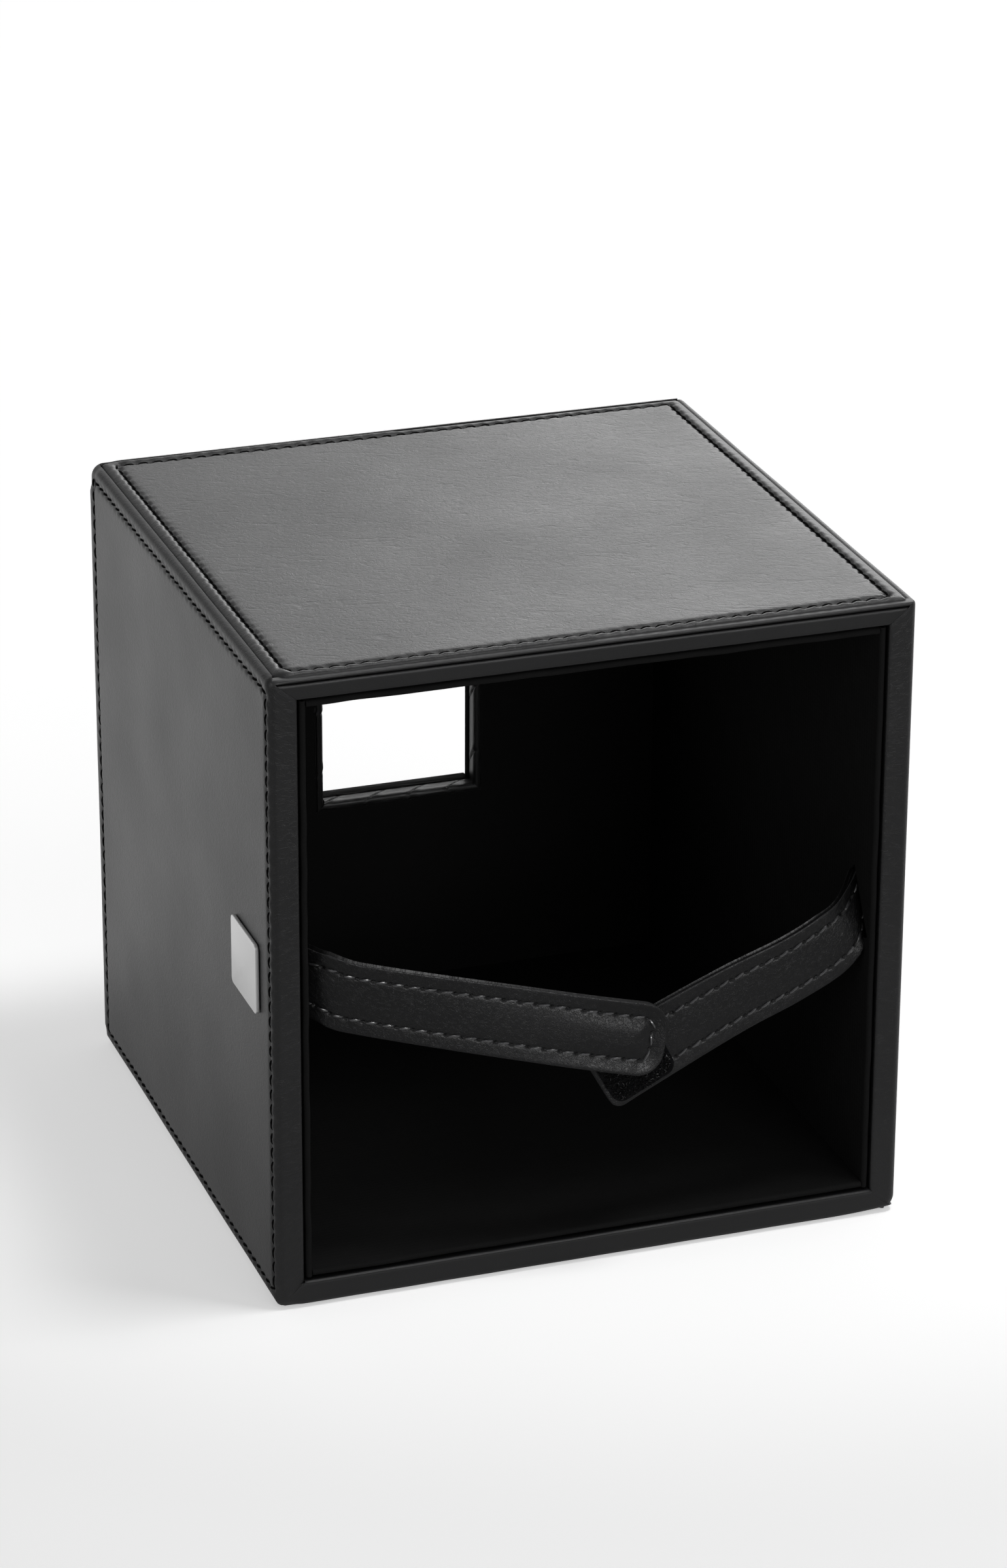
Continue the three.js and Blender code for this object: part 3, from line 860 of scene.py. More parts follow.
class COVER_OT_rims(bpy.types.Operator):
    """Lay the two rim strips between the side leathers"""
    bl_idname = "cover.rims"
    bl_label = "Rim strips"

    def execute(self, context):
        # Sections run from behind the outer edge, over the face and into the mouth, as points
        # of (distance from the outer face of the wall, distance behind the front). The top one
        # starts with a bead beside the top leather.
        bead, inner, outer = 0.4, 0.55, 1.3
        top = [(0.62, 2.2), (0.62, 1.0)]
        top += [(1.05 - bead * math.cos(a), 0.42 - bead * math.sin(a))
                for a in np.radians(np.linspace(-10, 190, 9))]
        top += [(1.52, 0.75), (1.60, 0.62), (1.68, 0.35), (1.80, 0.12), (2.0, 0.0)]
        top += [(d, 0.0) for d in np.linspace(2.4, 4.4, 6)]
        top += [(4.5 + inner * math.sin(a), inner * (1 - math.cos(a)))
                for a in (k * math.pi / 12 for k in range(1, 7))]
        top += [(5.05, 1.6), (5.05, 2.8)]
        bottom = [(0.35, 2.2)]
        bottom += [(1.65 - outer * math.cos(a), outer - outer * math.sin(a))
                   for a in np.radians(np.linspace(0, 90, 9))]
        bottom += [(d, 0.0) for d in np.linspace(2.1, 4.9, 6)]
        # Its turned inner edge stands a little proud.
        bottom += [(5.1, -0.05), (5.3, -0.2), (5.52, -0.28), (5.74, -0.2), (5.88, 0.0)]
        bottom += [(5.93, 0.3), (5.9, 1.6), (5.9, 2.8)]
        # Rows along the rim, closer at the mitres
        us = HALF_WIDTH * np.concatenate([[-1, -0.997, -0.994], np.linspace(-0.99, 0.99, 121),
                                          [0.994, 0.997, 1]])
        for name, section, sign, gap in (("top_rim", top, 1, 0.02), ("bottom_rim", bottom, -1, 0.1)):
            section = np.array(section)
            index = np.arange(len(section)) * 0.35
            wall = section[:, 0].max()

            def strip(u, v, section=section, index=index, sign=sign, gap=gap, wall=wall):
                u = u / HALF_WIDTH
                deep = np.interp(v, index, section[:, 0])
                y = FRONT + np.interp(v, index, section[:, 1])
                half = HALF_WIDTH - deep * SIDE_RIM / wall - gap
                # The strip ducks under the side leather at its mitres, but its lower left end
                # laps over it.
                edge = np.clip((np.abs(u) - 0.985) / 0.015, 0, 1)
                lapped = (u < 0) & (sign < 0)
                y = y + np.where(lapped, -0.24, 2 * gap) * edge ** 2
                y = y + 0.03 * np.sin(u * 23) * (1 - edge)
                z = HEIGHT - deep if sign > 0 else deep
                return soften(np.stack([u * half, y, z], 1))

            piece = skin(name + "_skin", us, index, strip, 0.35, (0, -1, 0), "rim")
            settle(piece, replaces=[name])
        return {"FINISHED"}


# ---- Lining --------------------------------------------------------------------------------
# Thickness of the lining cloth and of the binding, in mm.
CLOTH = 0.3


def lining_card(name, lay, ends, facing, seed, replaces):
    """A cloth-covered card whose front edge is folded over. lay(y, along, out) puts it in the
    mouth; `out` is measured outward from the face that shows."""
    radius = (LINING_HIGH[0] - LINING_LOW[0]) / 2
    front = LINING_LOW[1]
    fold = math.pi * radius
    flat_end = front + radius
    # The cloth ripples a little near its folded edge.
    ripple_depth, ripple_reach = 0.03, 5
    rng = np.random.default_rng(seed)
    waves = [(rng.uniform(9, 40), rng.uniform(0, 6.3), rng.uniform(0.4, 1)) for _ in range(6)]

    def laid(u, v):
        # u runs from deep in the box (high) to the fold (0) and back along the outer face
        a = np.clip(-u / radius, 0, math.pi)
        y = flat_end + np.maximum(u, 0) - radius * np.sin(a) + np.maximum(-u - fold, 0)
        out = radius * (1 - np.cos(a))
        near = np.exp(-np.maximum(y - front, 0) / ripple_reach)
        ripple = sum(k * np.sin(6.283 * v / length + phase) for length, phase, k in waves)
        out = out + ripple_depth * ripple * near
        y = y + ripple_depth * ripple * np.sin(v / 3.1) * near
        return lay(y, v, out)

    depth = LINING_HIGH[1] - flat_end
    us = np.concatenate([-fold - np.array([4.0, 2.0]), np.linspace(-fold, 0, 9),
                         [0.7, 1.8, 3.4, 6, 10], np.linspace(15, depth, 8)])
    vs = np.linspace(ends[0], ends[1], 110)
    card = skin(name, us, vs, laid, CLOTH, facing, "lining")
    return settle(card, replaces=replaces)


def cut_slit(piece, side, corners):
    """Cuts the strap's slit. Corners are (y, z) of the opening, in order round it."""
    start_clean()
    outer, inner = side * (LINING_HIGH[0] + 2), side * (LINING_LOW[0] - 2)
    mid = ((outer + inner) / 2 * MM, 0, 0)
    bpy.ops.mesh.primitive_cube_add(size=1, location=mid)
    cutter = bpy.context.object
    cutter.scale = (abs(outer - inner) * MM, 1, 1)
    apply_place()
    order = {(-1, -1): 0, (1, -1): 1, (1, 1): 2, (-1, 1): 3}
    for vertex in cutter.data.vertices:
        key = (1 if vertex.co.y > 0 else -1, 1 if vertex.co.z > 0 else -1)
        vertex.co.y, vertex.co.z = (c * MM for c in corners[order[key]])
    apply_modifier(piece, "BOOLEAN", operation="DIFFERENCE", object=cutter, solver="EXACT")
    bpy.data.objects.remove(cutter, do_unlink=True)
    dress(piece, "lining")


class COVER_OT_linings(bpy.types.Operator):
    """Fold the lining cards and cut the slits for the strap"""
    bl_idname = "cover.linings"
    bl_label = "Lining cards"

    def execute(self, context):
        inner = LINING_LOW[0]
        low, high = LINING_LOW[2], LINING_HIGH[2]
        thickness = LINING_HIGH[0] - inner
        ceiling, ground = high - thickness, low + thickness
        span = inner - 0.1
        # The stiff strap roots hold the right slit open towards the mouth.
        slits = {
            -1: [(-55.9, 60.2), (-52.4, 60.2), (-52.4, 77.6), (-55.9, 77.6)],
            1: [(-63.6, 63.0), (-58.4, 61.0), (-53.4, 73.6), (-55.9, 76.4)],
        }
        for name, side, seed in (("left_lining", -1, 11), ("right_lining", 1, 12)):
            card = lining_card(
                name + "_card", lambda y, a, o, side=side: np.stack([side * (inner + o), y, a], 1),
                (low, high), (-side, 0, 0), seed, [name])
            cut_slit(card, side, slits[side])
        lining_card("top_lining_card", lambda y, a, o: np.stack([a, y, ceiling + o], 1),
                    (-span, span), (0, 0, -1), 13, ["top_lining"])
        lining_card("bottom_lining_card", lambda y, a, o: np.stack([a, y, ground - o], 1),
                    (-span, span), (0, 0, 1), 14, ["bottom_lining"])
        return {"FINISHED"}


# ---- Window --------------------------------------------------------------------------------
def binding_section(lip, y_in, y_out, step):
    """The binding's way from the lining, over both lips and through the wall, as points of
    (distance out from the opening, y). It ends against the turned edge of the back leather,
    which stands `step` into the opening."""
    edge, into, over_back = 0.35, 0.8, 0.6
    # Round the edge of the lip on the lining, and over it into the opening
    points = [(lip, y_in + 0.25), (lip, y_in - 0.1)]
    points += [(lip - edge * math.sin(a), y_in - 0.1 - edge * (1 - math.cos(a)))
               for a in np.radians([30, 60, 90])]
    points += [(lip * 0.72, y_in - 0.5), (lip * 0.6, y_in - 0.52)]
    points += [(into * (1 - math.sin(a)), y_in + 0.28 - into * math.cos(a))
               for a in np.radians([0, 22, 45, 68, 90])]
    # Through the wall, where it steps back to the board
    points += [(0, y) for y in np.linspace(y_in + 0.7, y_in + 2.4, 6)]
    points += [(0.12, y_in + 2.8), (0.4, y_in + 3.2), (0.6, y_in + 3.6)]
    points += [(0.6, y) for y in np.linspace(y_in + 4.1, y_out - 1.3, 4)]
    # Round the turned edge of the back leather
    points += [(0.5, y_out - 1.15), (edge - step, y_out - 1.1)]
    points += [(edge - step - edge * math.sin(a), y_out - 0.75 - edge * math.cos(a))
               for a in np.radians([30, 60, 90, 120, 150])]
    points += [(0.4 - step + over_back * (1 - math.cos(a)),
                y_out - 0.35 + over_back * math.sin(a))
               for a in np.radians([22, 45, 68, 90])]
    points += [(1.1, y_out + 0.25), (1.5, y_out + 0.1), (1.6, y_out - 0.3)]
    return np.array(points)


class COVER_OT_window(bpy.types.Operator):
    """Bind the window with four mitred strips of leather"""
    bl_idname = "cover.window"
    bl_label = "Window binding"

    def execute(self, context):
        x0, z0, x1, z1 = window_opening()
        middle = (z0 + z1) / 2
        y_in, y_out = node_mm("back_lining")[0][1], BACK
        # Each strip: name, which way is out, half the opening across and along it, where the
        # creases of its leather lie, their slant, the step at its back edge and its own set-off
        wide, tall = (x1 - x0) / 2, (z1 - z0) / 2
        strips = [
            ("window_sill", (0, -1), tall, wide, (-15.0, -4.6, 4.6, 13.4), 1.5, 0.8, 0),
            ("window_head", (0, 1), tall, wide, (-10.0, 2.5, 11.0), -1.2, 0.3, 0),
            ("window_jamb_right", (1, 0), wide, tall, (5.4, -9.6), -1.2, 0.4, 0),
            ("window_jamb_left", (-1, 0), wide, tall, (-6.0, 7.5), 1.2, 0.4, 0.5),
        ]
        for name, way, half_open, half_along, creases, slant, step, set_off in strips:
            section = binding_section(mm("binding_lip"), y_in, y_out, step)
            section[:, 0] += set_off
            index = np.arange(len(section), dtype=float)

            def laid(u, v, way=way, half_open=half_open, half_along=half_along,
                     creases=creases, slant=slant, section=section, index=index):
                out = np.interp(v, index, section[:, 0])
                y = np.interp(v, index, section[:, 1])
                along = u * half_along
                # A crease is a narrow groove with a low swell beside it.
                fold = np.zeros(len(u))
                for place in creases:
                    off = along - place - slant * (y - y_in - 1.5)
                    fold += 0.5 * np.exp(-(off / 0.34) ** 2) - 0.16 * np.exp(-((off - 1) / 0.8) ** 2)
                in_wall = np.exp(-((y - y_in - 0.9) / 1.6) ** 2)
                out = out + fold * in_wall
                across = half_open + out
                reach = u * (half_along + out)
                if way[0]:
                    return np.stack([way[0] * across, y, middle + reach], 1)
                return np.stack([reach, y, middle + way[1] * across], 1)

            us = np.linspace(-1, 1, 161)
            facing = (-way[0], 0, -way[1])
            piece = skin(name + "_binding", us, index, laid, CLOTH, facing)
            settle(piece, replaces=[name])
        return {"FINISHED"}


# ---- Strap ---------------------------------------------------------------------------------
# Number of places at which a strap half's way is worked out.
COURSE_STEPS = 1600


class Course:
    """The way a strap half hangs, between its lower and its upper edge. Widths on it are given
    for a strap of the standard width and follow the edges where they draw together."""

    def __init__(self, lower, upper, width):
        self.middle, self.width = (lower + upper) / 2, (upper - lower) / width
        steps = np.linalg.norm(np.diff(self.middle, axis=0), axis=1)
        self.along = np.concatenate([[0], np.cumsum(steps)])
        normal = np.cross(np.gradient(self.middle, axis=0), self.width)
        normal /= np.linalg.norm(normal, axis=1)[:, None]
        self.normal = normal * np.where(normal[:, 1] > 0, -1, 1)[:, None]
        self.length = self.along[-1]

    def behind(self):
        """The same course, seen from its other face."""
        other = copy.copy(self)
        other.normal = -self.normal
        return other

    def facing(self, point):
        """The way out of the strap's face at its place nearest to a point."""
        near = np.linalg.norm(self.middle - np.array(point), axis=1).argmin()
        return Vector(self.normal[near])

    def place(self, u, v, h):
        """Point at u along the strap, v up across it and h out of its middle surface."""
        def at(table):
            return np.stack([np.interp(u, self.along, table[:, k]) for k in range(3)], 1)
        return at(self.middle) + at(self.width) * v[:, None] + at(self.normal) * h[:, None]


def soft_positive(x, softness):
    """x where it is positive, 0 where it isn't, with a rounded change between them."""
    return (x + np.sqrt(x ** 2 + softness ** 2)) / 2


def left_course():
    """The left, outer half comes forward out of its slit, folds and sinks at an even slope."""
    fold_x = -JOINTS["left_strap_fold"]["pos_m"][0] / MM
    fold_y = JOINTS["left_strap_fold"]["pos_m"][1] / MM
    # It starts inside the slit and ends past the middle of the mouth.
    inside_slit, before_fold, past_middle = 7.5, 3.0, 14.3
    along = np.linspace(-inside_slit, fold_x + past_middle - before_fold, COURSE_STEPS)
    # Its height at the fold and the slope at which it sinks, with a rise at the root that ends
    # within `turn`; how far it bows forward, and how its lower edge leans out.
    root_height, slope, rise, turn = 66.48, math.tan(math.radians(14.15)), 2.4, 9.0
    bow, tilt, level = 10.2, math.tan(math.radians(10)), 47

    def surface(up):
        root = np.clip(1 - (np.maximum(along, 0) + before_fold) / turn, 0, 1)
        fall = slope + 2 * rise * root / turn
        turned = np.arctan(fall) * (1 - root)
        z = root_height - (along + before_fold) * slope + rise * root ** 2
        z = z + up * np.cos(turned)
        forward = along + up * np.sin(turned)
        ahead = soft_positive(forward, 0.9)
        back = ahead - forward
        inward = ahead + before_fold
        way = np.clip(inward / (fold_x + 6), 0, 1)
        lean = np.clip(way / 0.8, 0, 1)
        # Inside the slit it runs outward and deeper into the box.
        y = fold_y + 0.1 - bow * (1 - (1 - way) ** 2) + 0.68 * back
        y = y + tilt * lean ** 2 * (3 - 2 * lean) * (z - level)
        return np.stack([inward - fold_x - 0.73 * back, y, z], 1)

    half = mm("strap_width") / 2
    return Course(surface(-half), surface(half), 2 * half)


# Points on the upper and the lower edge of the right half, from inside its slit to its end. It
# leaves the slit standing, twists forward, and then hangs in a shallow curve to the middle.
RIGHT_EDGES = [
    ((62.3, -52.6, 76.6), (61.6, -56.4, 63.4)),
    ((60.0, -54.6, 74.83), (59.88, -59.0, 61.7)),
    ((57.49, -56.9, 72.27), (59.5, -61.2, 60.5)),
    ((54.14, -59.4, 69.95), (58.45, -61.9, 58.69)),
    ((49.33, -61.2, 68.18), (54.82, -62.1, 55.41)),
    ((42.03, -62.1, 65.12), (45.94, -62.6, 51.22)),
    ((28.44, -62.5, 60.46), (33.39, -63.4, 46.65)),
    ((10.01, -62.2, 52.46), (16.59, -64.1, 39.05)),
    ((-0.54, -62.0, 47.12), (6.49, -64.4, 34.15)),
    ((-2.11, -62.0, 46.25), (4.92, -64.4, 33.28)),
]


def smooth_through(points, steps):
    """A smooth curve that passes through every one of the points."""
    points = np.asarray(points, float)
    spans = np.sqrt(np.linalg.norm(np.diff(points, axis=0), axis=1))
    knots = np.concatenate([[0], np.cumsum(spans)])
    slopes = np.gradient(points, knots, axis=0)
    t = np.linspace(0, knots[-1], steps)
    k = np.clip(np.searchsorted(knots, t, side="right") - 1, 0, len(knots) - 2)
    width = (knots[k + 1] - knots[k])[:, None]
    f = (t - knots[k])[:, None] / width
    return ((1 + 2 * f) * (1 - f) ** 2 * points[k] + f * (1 - f) ** 2 * width * slopes[k]
            + f * f * (3 - 2 * f) * points[k + 1] + f * f * (f - 1) * width * slopes[k + 1])


def right_course():
    """The right, inner half twists out of its slit and sinks to the middle."""
    both = smooth_through([upper + lower for upper, lower in RIGHT_EDGES], COURSE_STEPS)
    return Course(both[:, 3:], both[:, :3], mm("strap_width"))


def strap_row(course):
    """The stitch row of a strap half: up one edge, round the tip and back."""
    margin, corner = mm("strap_margin"), 2.2
    half = mm("strap_width") / 2 - margin
    end = course.length - margin
    points = [(0.0, -half), (end - corner, -half)]
    for angle in np.radians(np.linspace(-90, 90, 19)):
        v = (half - corner) * (1 if angle > 0 else -1)
        points.append((end - corner + corner * math.cos(angle), v + corner * math.sin(angle)))
    points += [(end - corner, half), (0.0, half)]
    return Seam(evenly_spaced(np.array(points)), mm("strap_pitch"))


# Half the gap between the strap's two layers, in mm.
LAYER_GAP = 0.02


def strap_layer(name, course, corner, relief, facing, blend, replaces):
    """One leather layer of a strap half, from just off its middle surface outwards."""
    width, outer = mm("strap_width"), mm("strap_thickness") / 2
    length = course.length
    us = np.concatenate([np.arange(0, length - corner, 0.28),
                         length - corner * (1 - np.sin(np.linspace(0, math.pi / 2, 24)))])
    row = width / 2 - mm("strap_margin")
    across = np.concatenate([np.arange(0.2, row - 0.6, 0.4), np.arange(row - 0.6, row + 0.7, 0.16),
                             np.arange(row + 0.9, width / 2 - 0.2, 0.35),
                             width / 2 - np.array([0.1, 0.04, 0])])
    across = np.concatenate([-across[::-1], across])

    def laid(u, v):
        part = np.clip((u - (length - corner)) / corner, 0, 1)
        half = width / 2 - corner * (1 - np.sqrt(np.maximum(0, 1 - part ** 2)))
        w = 2 * v / width * half
        to_edge = np.minimum(half - np.abs(w), length - u)
        return course.place(u, w, outer + relief(u, w) + rolled(to_edge, 0.35, 0.22))

    piece = skin(name, us, across, laid, outer - LAYER_GAP, (0, facing, 0), "strap")
    # What faces sideways is the cut edge, painted paler partly as painted highlight.
    piece.data.materials.append(finishes()["cut_edge"])
    for face in piece.data.polygons:
        if abs(face.normal.dot(course.facing(face.center / MM))) < 0.6:
            face.material_index = 1
    settle(piece, replaces=replaces, blend=blend)


class COVER_OT_strap(bpy.types.Operator):
    """Lay, pad and sew the two halves of the strap"""
    bl_idname = "cover.strap"
    bl_label = "Strap halves"

    def execute(self, context):
        row_look = dict(width=0.4, oblique=0, grip=0.3, spread=0.32, swell=0.02)
        # Each half: its course, which way it runs, the corners of its end, and the part of its
        # length past which its padding fills out (2 is never)
        for side, course, way, corner, puff_at in (
            ("left", left_course(), 1, mm("tip_corner"), 0.6),
            ("right", right_course(), -1, mm("end_corner"), 2),
        ):
            x, y, z = JOINTS[side + "_strap_fold"]["pos_m"]
            # Where the bend would run, from just inside the slit to a little way along the strap.
            # Only the presence of the blend is read: it bakes the pieces' places into their meshes.
            start = (x - way * 2.2 * MM, y + 1.5 * MM, z)
            end = (x + way * 3.5 * MM, y - 2.0 * MM, z)
            blend = ("box", side + "_strap", start, end)
            seam = strap_row(course)

            def front_relief(u, w, seam=seam, course=course, puff_at=puff_at):
                puff = np.clip((u / course.length - puff_at) / 0.35, 0, 1)
                puff = puff * puff * (3 - 2 * puff)
                wide = np.exp(-(seam.read(u, w, 5.0)[0] / 2.0) ** 2)
                padding = (1 - wide) * (0.2 + 0.45 * puff)
                return padding + sewn_relief(seam, u, w, 0.12, 0.5, **row_look)

            def back_relief(u, w, seam=seam):
                return sewn_relief(seam, u, w, 0.12, 0.4, **row_look)

            layers = (
                ("face", "front", course, front_relief, -1,
                 [f"{side}_strap_face", f"{side}_strap_anchor"]),
                ("backing", "back", course.behind(), back_relief, 1, [f"{side}_strap_backing"]),
            )
            for layer, _, face, relief, facing, replaced in layers:
                strap_layer(f"{side}_strap_{layer}_leather", face, corner, relief, facing, blend,
                            replaced)
            # The waxed thread lies on the leather.
            lift = mm("strap_thickness") / 2 + 0.02
            for _, which, face, *_ in layers:
                sew(f"{side}_strap_{which}_stitches", seam, face.place, lift,
                    pitch_part=0.66, slant=0.2, blend=blend, finish="waxed")
        self.tapes()
        return {"FINISHED"}

    @staticmethod
    def tapes():
        """The hook tape behind the left tip and the loop tape on the right end."""
        half, surface = mm("strap_width") / 2, mm("strap_thickness") / 2 + 0.1
        behind, right = left_course().behind(), right_course()
        # A tape's start and end are measured back from the end of its strap half, and its pile
        # stands a little inside its edges.
        tape("hook_tape_base", behind, (20.6, 1.6), half - 1.6, surface, 0.4, 1,
             "left_strap", ["hook_tape"])
        tape("loop_tape_base", right, (15.6, 0.9), half - 0.8, surface, 0.35, -1,
             "right_strap", ["loop_tape"])
        pile("loop_pile", right, (15.2, 1.1), half - 1.0, surface + 0.32, one_loop(), 0.62,
             "loop", "right_strap", 21)
        pile("hooks", behind, (20.2, 2.0), half - 2.0, surface + 0.35, one_hook(), 1.0,
             "hook", "left_strap", 22)


# Corner radius of both tapes, in mm.
TAPE_CORNER = 2.4


def corner_inset(from_end):
    """How far a tape's rounded corner draws in its edge, at a distance from the tape's end."""
    part = np.clip(1 - from_end / TAPE_CORNER, 0, 1)
    return TAPE_CORNER * (1 - np.sqrt(np.maximum(0, 1 - part ** 2)))


def tape(name, course, ends, half, base, thickness, facing, body, replaces):
    """A woven tape, sewn flat on a strap half."""
    start, end = (course.length - back for back in ends)

    def laid(u, v):
        reach = half - corner_inset(np.minimum(u - start, end - u))
        return course.place(u, v / half * reach, np.full(len(u), base + thickness))

    turn = TAPE_CORNER * (1 - np.cos(np.linspace(0, math.pi / 2, 8)))
    middle = np.linspace(start + TAPE_CORNER + 0.8, end - TAPE_CORNER - 0.8, 22)
    us = np.concatenate([start + turn, middle, end - turn[::-1]])
    piece = skin(name, us, np.linspace(-half, half, 15), laid, thickness, (0, facing, 0), "tape")
    settle(piece, body=body, replaces=replaces)


def one_loop():
    """One loop of the pile: a small standing ring of filament."""
    start_clean()
    bpy.ops.mesh.primitive_torus_add(major_radius=0.42 * MM, minor_radius=0.075 * MM,
                                     major_segments=8, minor_segments=3,
                                     rotation=(math.pi / 2, 0, 0))
    apply_place()
    return bpy.context.object


def one_hook():
    """One hook: a short stem with its end bent over."""
    start_clean()
    bpy.ops.mesh.primitive_cylinder_add(vertices=5, radius=0.1 * MM, depth=0.7 * MM)
    hook = bpy.context.object
    bend_from = 0.1 * MM
    bpy.ops.object.mode_set(mode="EDIT")
    for height in (bend_from, 0.22 * MM):
        bpy.ops.mesh.select_all(action="SELECT")
        bpy.ops.mesh.bisect(plane_co=(0, 0, height), plane_no=(0, 0, 1))
    bpy.ops.object.mode_set(mode="OBJECT")
    for vertex in hook.data.vertices:
        over = max(0, vertex.co.z - bend_from)
        vertex.co.x += over * 1.3
        vertex.co.z -= over * 0.6
    return hook


def pile(name, course, ends, half, base, model, pitch, finish, body, seed):
    """Sets copies of one small model over a tape, each turned and tilted by chance."""
    rng = np.random.default_rng(seed)
    start, end = (course.length - back for back in ends)
    count_u, count_v = int((end - start) / pitch), int(2 * half / pitch)
    source = vertex_places(model)
    faces = [tuple(face.vertices) for face in model.data.polygons]
    points, polygons = [], []
    for i in range(count_u + 1):
        for j in range(count_v + 1):
            u = start + (i + rng.uniform(-0.35, 0.35)) * (end - start) / count_u
            v = -half + (j + rng.uniform(-0.35, 0.35)) * 2 * half / count_v
            near = min(u - start, end - u)
            if near < 0 or abs(v) > half - corner_inset(near):
                continue
            here, out = course.place(np.array([u, u]), np.array([v, v]),
                                     np.array([base, base + 1]))
            up = Vector(out - here).normalized()
            turn = up.to_track_quat("Z", "Y").to_matrix()
            spin = Euler((rng.normal(0, 0.35), rng.normal(0, 0.35), rng.uniform(0, 6.28)))
            matrix = np.array(turn @ spin.to_matrix())
            scale = rng.uniform(0.75, 1.2)
            offset = len(points)
            points.extend(source @ matrix.T * scale + here * MM)
            polygons.extend(tuple(k + offset for k in face) for face in faces)
    bpy.data.objects.remove(model, do_unlink=True)
    mesh = bpy.data.meshes.new(name)
    mesh.from_pydata([tuple(point) for point in points], [], polygons)
    piece = bpy.data.objects.new(name, mesh)
    bpy.context.collection.objects.link(piece)
    dress(piece, finish)
    settle(piece, body=body)


# ---- Plate and hidden parts ----------------------------------------------------------------
class COVER_OT_plate(bpy.types.Operator):
    """Cut the blank metal plate and break its edges"""
    bl_idname = "cover.plate"
    bl_label = "Metal plate"

    def execute(self, context):
        low, high = (np.array(corner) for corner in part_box("metal_plate"))
        start_clean()
        bpy.ops.mesh.primitive_cube_add(size=1, location=(low + high) / 2)
        plate = bpy.context.object
        plate.name = plate.data.name = "metal_plate_satin"
        plate.scale = high - low
        apply_place()
        outer = low[0]

        def runs_through(a, b):
            return abs(a[0] - b[0]) > 0.5 * (high[0] - low[0])

        def on_face(a, b):
            return max(abs(a[0] - outer), abs(b[0] - outer)) < 1e-6

        corner = 1.2 * MM
        for offset, segments, wanted in ((corner, 6, runs_through),
                                         (sizes().plate_bevel, 2, on_face)):
            places = vertex_places(plate)
            ends = [places[list(edge.vertices)] for edge in plate.data.edges]
            edit_selected(plate, "EDGE", np.array([wanted(a, b) for a, b in ends]))
            bpy.ops.mesh.bevel(offset=offset, segments=segments, profile=0.5, affect="EDGES")
            bpy.ops.object.mode_set(mode="OBJECT")
        dress(plate, "steel", angle=35)
        settle(plate, replaces=["metal_plate"])
        return {"FINISHED"}


class COVER_OT_hidden(bpy.types.Operator):
    """Finish the boards, the back lining and the pad, which keep their own shapes"""
    bl_idname = "cover.hidden"
    bl_label = "Boards and back lining"

    def execute(self, context):
        kept = {
            "board": ["left_board", "right_board", "top_board", "bottom_board", "back_board"],
            "lining": ["back_lining"],
            "hook": ["plate_adhesive"],
        }
        for finish, names in kept.items():
            for name in names:
                mesh = frame["nodes"][name].data
                mesh.materials.clear()
                mesh.materials.append(finishes()[finish])
        return {"FINISHED"}


# ---- Stage ---------------------------------------------------------------------------------
def floor_material():
    # Seamless studio paper: matt white, with painted light, an emission seen by the camera that
    # stands for light falling off in front and to the left.
    made, tree = material("Studio_paper_white")
    place = node(tree, "ShaderNodeTexCoord").outputs["Object"]
    x, y, _ = node(tree, "ShaderNodeSeparateXYZ", {0: place}).outputs
    lit_x, lit_y = 0.07, 0.1
    left = node(tree, "ShaderNodeMath", {0: x, 1: lit_x}, operation="MINIMUM")
    front = node(tree, "ShaderNodeMath", {0: y, 1: lit_y}, operation="MINIMUM")
    corner = node(tree, "ShaderNodeCombineXYZ", {0: left, 1: front})
    away = node(tree, "ShaderNodeVectorMath", {0: corner, 1: (lit_x, lit_y, 0)},
                operation="DISTANCE").outputs["Value"]
    painted_glow = node(tree, "ShaderNodeMapRange", {
        "Value": away, "From Min": 0.18, "From Max": 0.29, "To Min": 0.51, "To Max": 0.33,
    }, interpolation_type="SMOOTHSTEP")
    # The painted glow gains a little far behind. For glossy rays the floor also glows as a painted
    # reflection, which the leather reflects: dim in front of the mouth and brighter beside and
    # behind the box.
    behind, beside, far = (
        node(tree, "ShaderNodeMapRange", {
            "Value": y, "From Min": start, "From Max": end, "To Min": low, "To Max": high,
        })
        for start, end, low, high in (
            (0.15, 0.8, 0.0, 0.2), (-0.11, -0.03, 0.04, 0.31), (-0.03, 0.3, 0.0, 0.41),
        )
    )
    # The floor's emission is painted light: a glow for the camera and a painted reflection for
    # glossy rays.
    rays = node(tree, "ShaderNodeLightPath").outputs
    strength = 0.0
    for one, other, ray in ((painted_glow, behind, "Is Camera Ray"), (beside, far, "Is Glossy Ray")):
        light = node(tree, "ShaderNodeMath", {0: one, 1: other}, operation="ADD")
        strength = node(tree, "ShaderNodeMath", {0: light, 1: rays[ray], 2: strength},
                        operation="MULTIPLY_ADD")
    finish_material(tree, {
        "Base Color": linear("floor"), "Roughness": 0.9, "Specular IOR Level": 0.1,
        "Emission Color": (1, 1, 1, 1), "Emission Strength": strength,
    })
    return made


